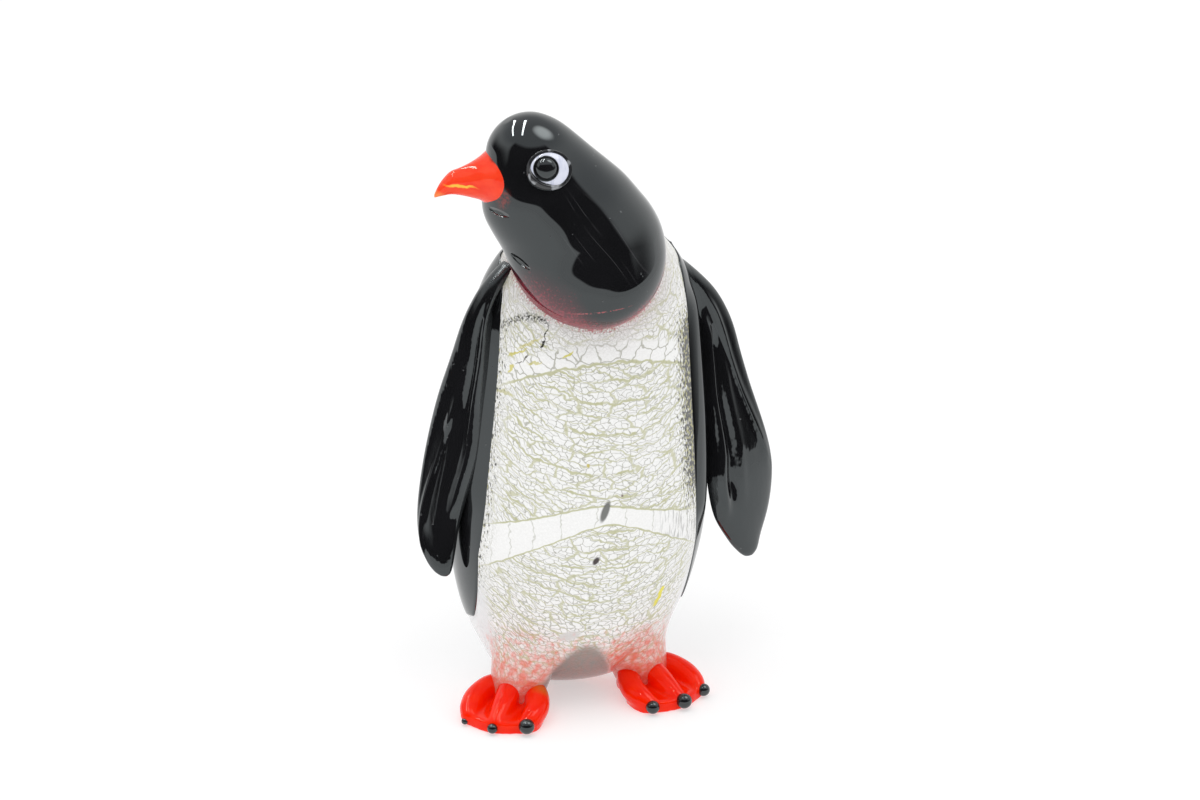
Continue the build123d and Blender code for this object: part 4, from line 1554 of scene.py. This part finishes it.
@dataclass
class Studio:
    """White table, a white tent open at the front, two ceiling tubes and the camera."""

    azimuth: float = -12.0
    elevation: float = 21.0
    distance: float = 552.0
    lens: float = 85.0
    sensor: float = 36.0
    clip: Row = (0.01, 20.0)
    aim_right: float = 4.1
    aim_up: float = 60.0
    table_radius: float = 1.7
    table_white: Row = (0.60, 0.60, 0.603, 1.0)
    table_glow: float = 0.46
    # Level of the tent's even light, and what gloss shows of its walls, its ceiling and its opening
    level: float = 0.84
    wall: Colour = (0.98, 0.98, 0.98)
    ceiling: Colour = (0.62, 0.63, 0.65)
    dark: Colour = (0.02, 0.02, 0.022)
    # Directions, in degrees from the front, between which the opening is tall, and between which it runs
    tall_sides: Row = (-78, -58, 34, 56)
    open_sides: Row = (-150, -122, 62, 114)
    # Direction of a pale window in the ceiling, how near to it the window fades in, and its brightness
    window: Row = (0.423, -0.113, 0.899)
    window_edge: Row = (0.93, 0.998)
    window_white: Colour = (4.0, 4.0, 4.0)
    # Ends of each ceiling tube, the tubes' height, width and brightness
    tube_ends: tuple[tuple[Row, Row], ...] = (((-0.33, 1.15), (-0.84, 0.01)), ((-0.02, 0.71), (-0.39, -0.31)))
    tube_height: float = 1.2
    tube_width: float = 0.075
    tube_white: float = 20.0
    # Place, aim, size and brightness of the soft light overhead
    soft_at: Row = (-0.15, -0.25, 1.3)
    soft_aim: Row = (0, 0, 0.05)
    soft_size: Row = (1.1, 0.9)
    soft_white: float = 1.4

    def camera(self) -> None:
        """Sets the camera at the photograph's angle."""
        a, e = math.radians(self.azimuth), math.radians(self.elevation)
        back = Vector((math.sin(a) * math.cos(e), -math.cos(a) * math.cos(e), math.sin(e)))
        aim = Vector((math.cos(a), math.sin(a), 0.0)) * self.aim_right + UP * self.aim_up + HOME
        data = bpy.data.cameras.new("camera")
        data.lens, data.sensor_width, data.sensor_fit = self.lens, self.sensor, "HORIZONTAL"
        data.clip_start, data.clip_end = self.clip
        made = bpy.data.objects.new("camera", data)
        made.location = (aim + back * self.distance) * MM
        made.rotation_euler = back.to_track_quat("Z", "Y").to_euler()
        bpy.context.scene.collection.objects.link(made)
        bpy.context.scene.camera = made

    def table(self) -> None:
        """Lays the white table, which shows white and keeps the figure's shadow."""
        mesh = bmesh.new()
        bmesh.ops.create_circle(mesh, cap_ends=True, segments=96, radius=self.table_radius)
        shape = bpy.data.meshes.new("table")
        mesh.to_mesh(shape)
        mesh.free()
        w = Surface("table_white")
        w.set(Base_Color=self.table_white, Roughness=0.9, Specular_IOR_Level=0.0)
        w.set(Emission_Color=(1.0, 1.0, 1.0, 1.0), Emission_Strength=self.table_glow)
        shape.materials.append(w.material)
        made = bpy.data.objects.new("table", shape)
        bpy.context.scene.collection.objects.link(made)

    def tent(self) -> None:
        """Wires the world: an even tent for light, and one open at the front for gloss."""
        world = bpy.data.worlds.new("tent")
        world.use_nodes = True
        bpy.context.scene.world = world
        w = Wiring(world.node_tree)
        x, y, z = w.parts(w.node("TexCoord").outputs["Generated"])
        turn = w.math("ARCTAN2", x, w.times(y, -1.0))
        tall, run = (self.sector(w, turn, sides) for sides in (self.tall_sides, self.open_sides))
        low, top = w.mad(tall, 0.46, 0.14), w.mad(tall, 0.20, 0.52)
        opening = w.times(run, w.rise(z, 0.045, 0.07), w.fall(z, low, top))
        show = w.blend(opening, w.blend(w.rise(z, 0.35, 0.75), self.wall, self.ceiling), self.dark)
        towards = w.node("VectorMath", w.vector(x, y, z), self.window, operation="DOT_PRODUCT")
        near = w.rise(towards.outputs["Value"], *self.window_edge)
        show = w.blend(near, show, self.window_white)
        path = w.node("LightPath").outputs
        seen = w.most(*(path[f"Is {kind} Ray"] for kind in ("Camera", "Glossy", "Transmission")))
        w.fill(w.tree.nodes["Background"], Color=w.blend(seen, (self.level,) * 3, show), Strength=1.0)

    def sector(self, w: Wiring, turn: Socket, sides: Row) -> Socket:
        """Mask of the directions between two soft sides."""
        a, b, c, d = (math.radians(side) for side in sides)
        return w.times(w.rise(turn, a, b), w.fall(turn, c, d))

    def lamp(self, name: str, size: Row, radiance: float) -> bpy.types.Object:
        """Makes one rectangular lamp.

        Args:
            name: the lamp's name.
            size: its sides in metres.
            radiance: how bright its face looks, where 1 is white.

        Returns:
            The lamp, still to be placed.
        """
        data = bpy.data.lights.new(name, "AREA")
        data.shape, data.size, data.size_y = "RECTANGLE", *size
        data.energy = radiance * math.pi * data.size * data.size_y
        made = bpy.data.objects.new(name, data)
        bpy.context.scene.collection.objects.link(made)
        return made

    def lamps(self) -> None:
        """Hangs the ceiling tubes, which only gloss shows, and the soft overhead light, which it doesn't."""
        for index, ends in enumerate(self.tube_ends):
            start, end = (Vector((*point, self.tube_height)) for point in ends)
            way = (end - start).normalized()
            made = self.lamp(f"tube_{index}", (self.tube_width, (end - start).length), self.tube_white)
            made.matrix_world = stand((start + end) / 2, way.cross(UP), way, UP)
            made.visible_diffuse = False
        made = self.lamp("overhead", self.soft_size, self.soft_white)
        made.location = self.soft_at
        way = Vector(self.soft_at) - Vector(self.soft_aim)
        made.rotation_euler = way.to_track_quat("Z", "Y").to_euler()
        made.visible_glossy = False

    def build(self) -> None:
        """Sets up everything round the figure."""
        self.camera()
        self.table()
        self.tent()
        self.lamps()
        bpy.context.scene.view_settings.view_transform = "Standard"


def main() -> None:
    """Builds the figure piece by piece, then the studio."""
    logging.basicConfig(level=logging.INFO, format="%(name)s: %(message)s")
    black, leaf = BlackGlass().material(), LeafGlass().material()
    body, head = Body(), Head()
    skin, hood = measured(body.skin()), measured(head.skin())
    body.build(hood, leaf, CapeGlass().material())
    head.build(skin, black)
    for wing, finish in WINGS:
        wing.build(body, finish.material())
    orange = FOOT_GLASS.material()
    for foot in FEET:
        foot.build(body, skin, hood, leaf, orange, black)
    Tail().build(body, black)
    Studio().build()


if __name__ == "__main__":
    main()
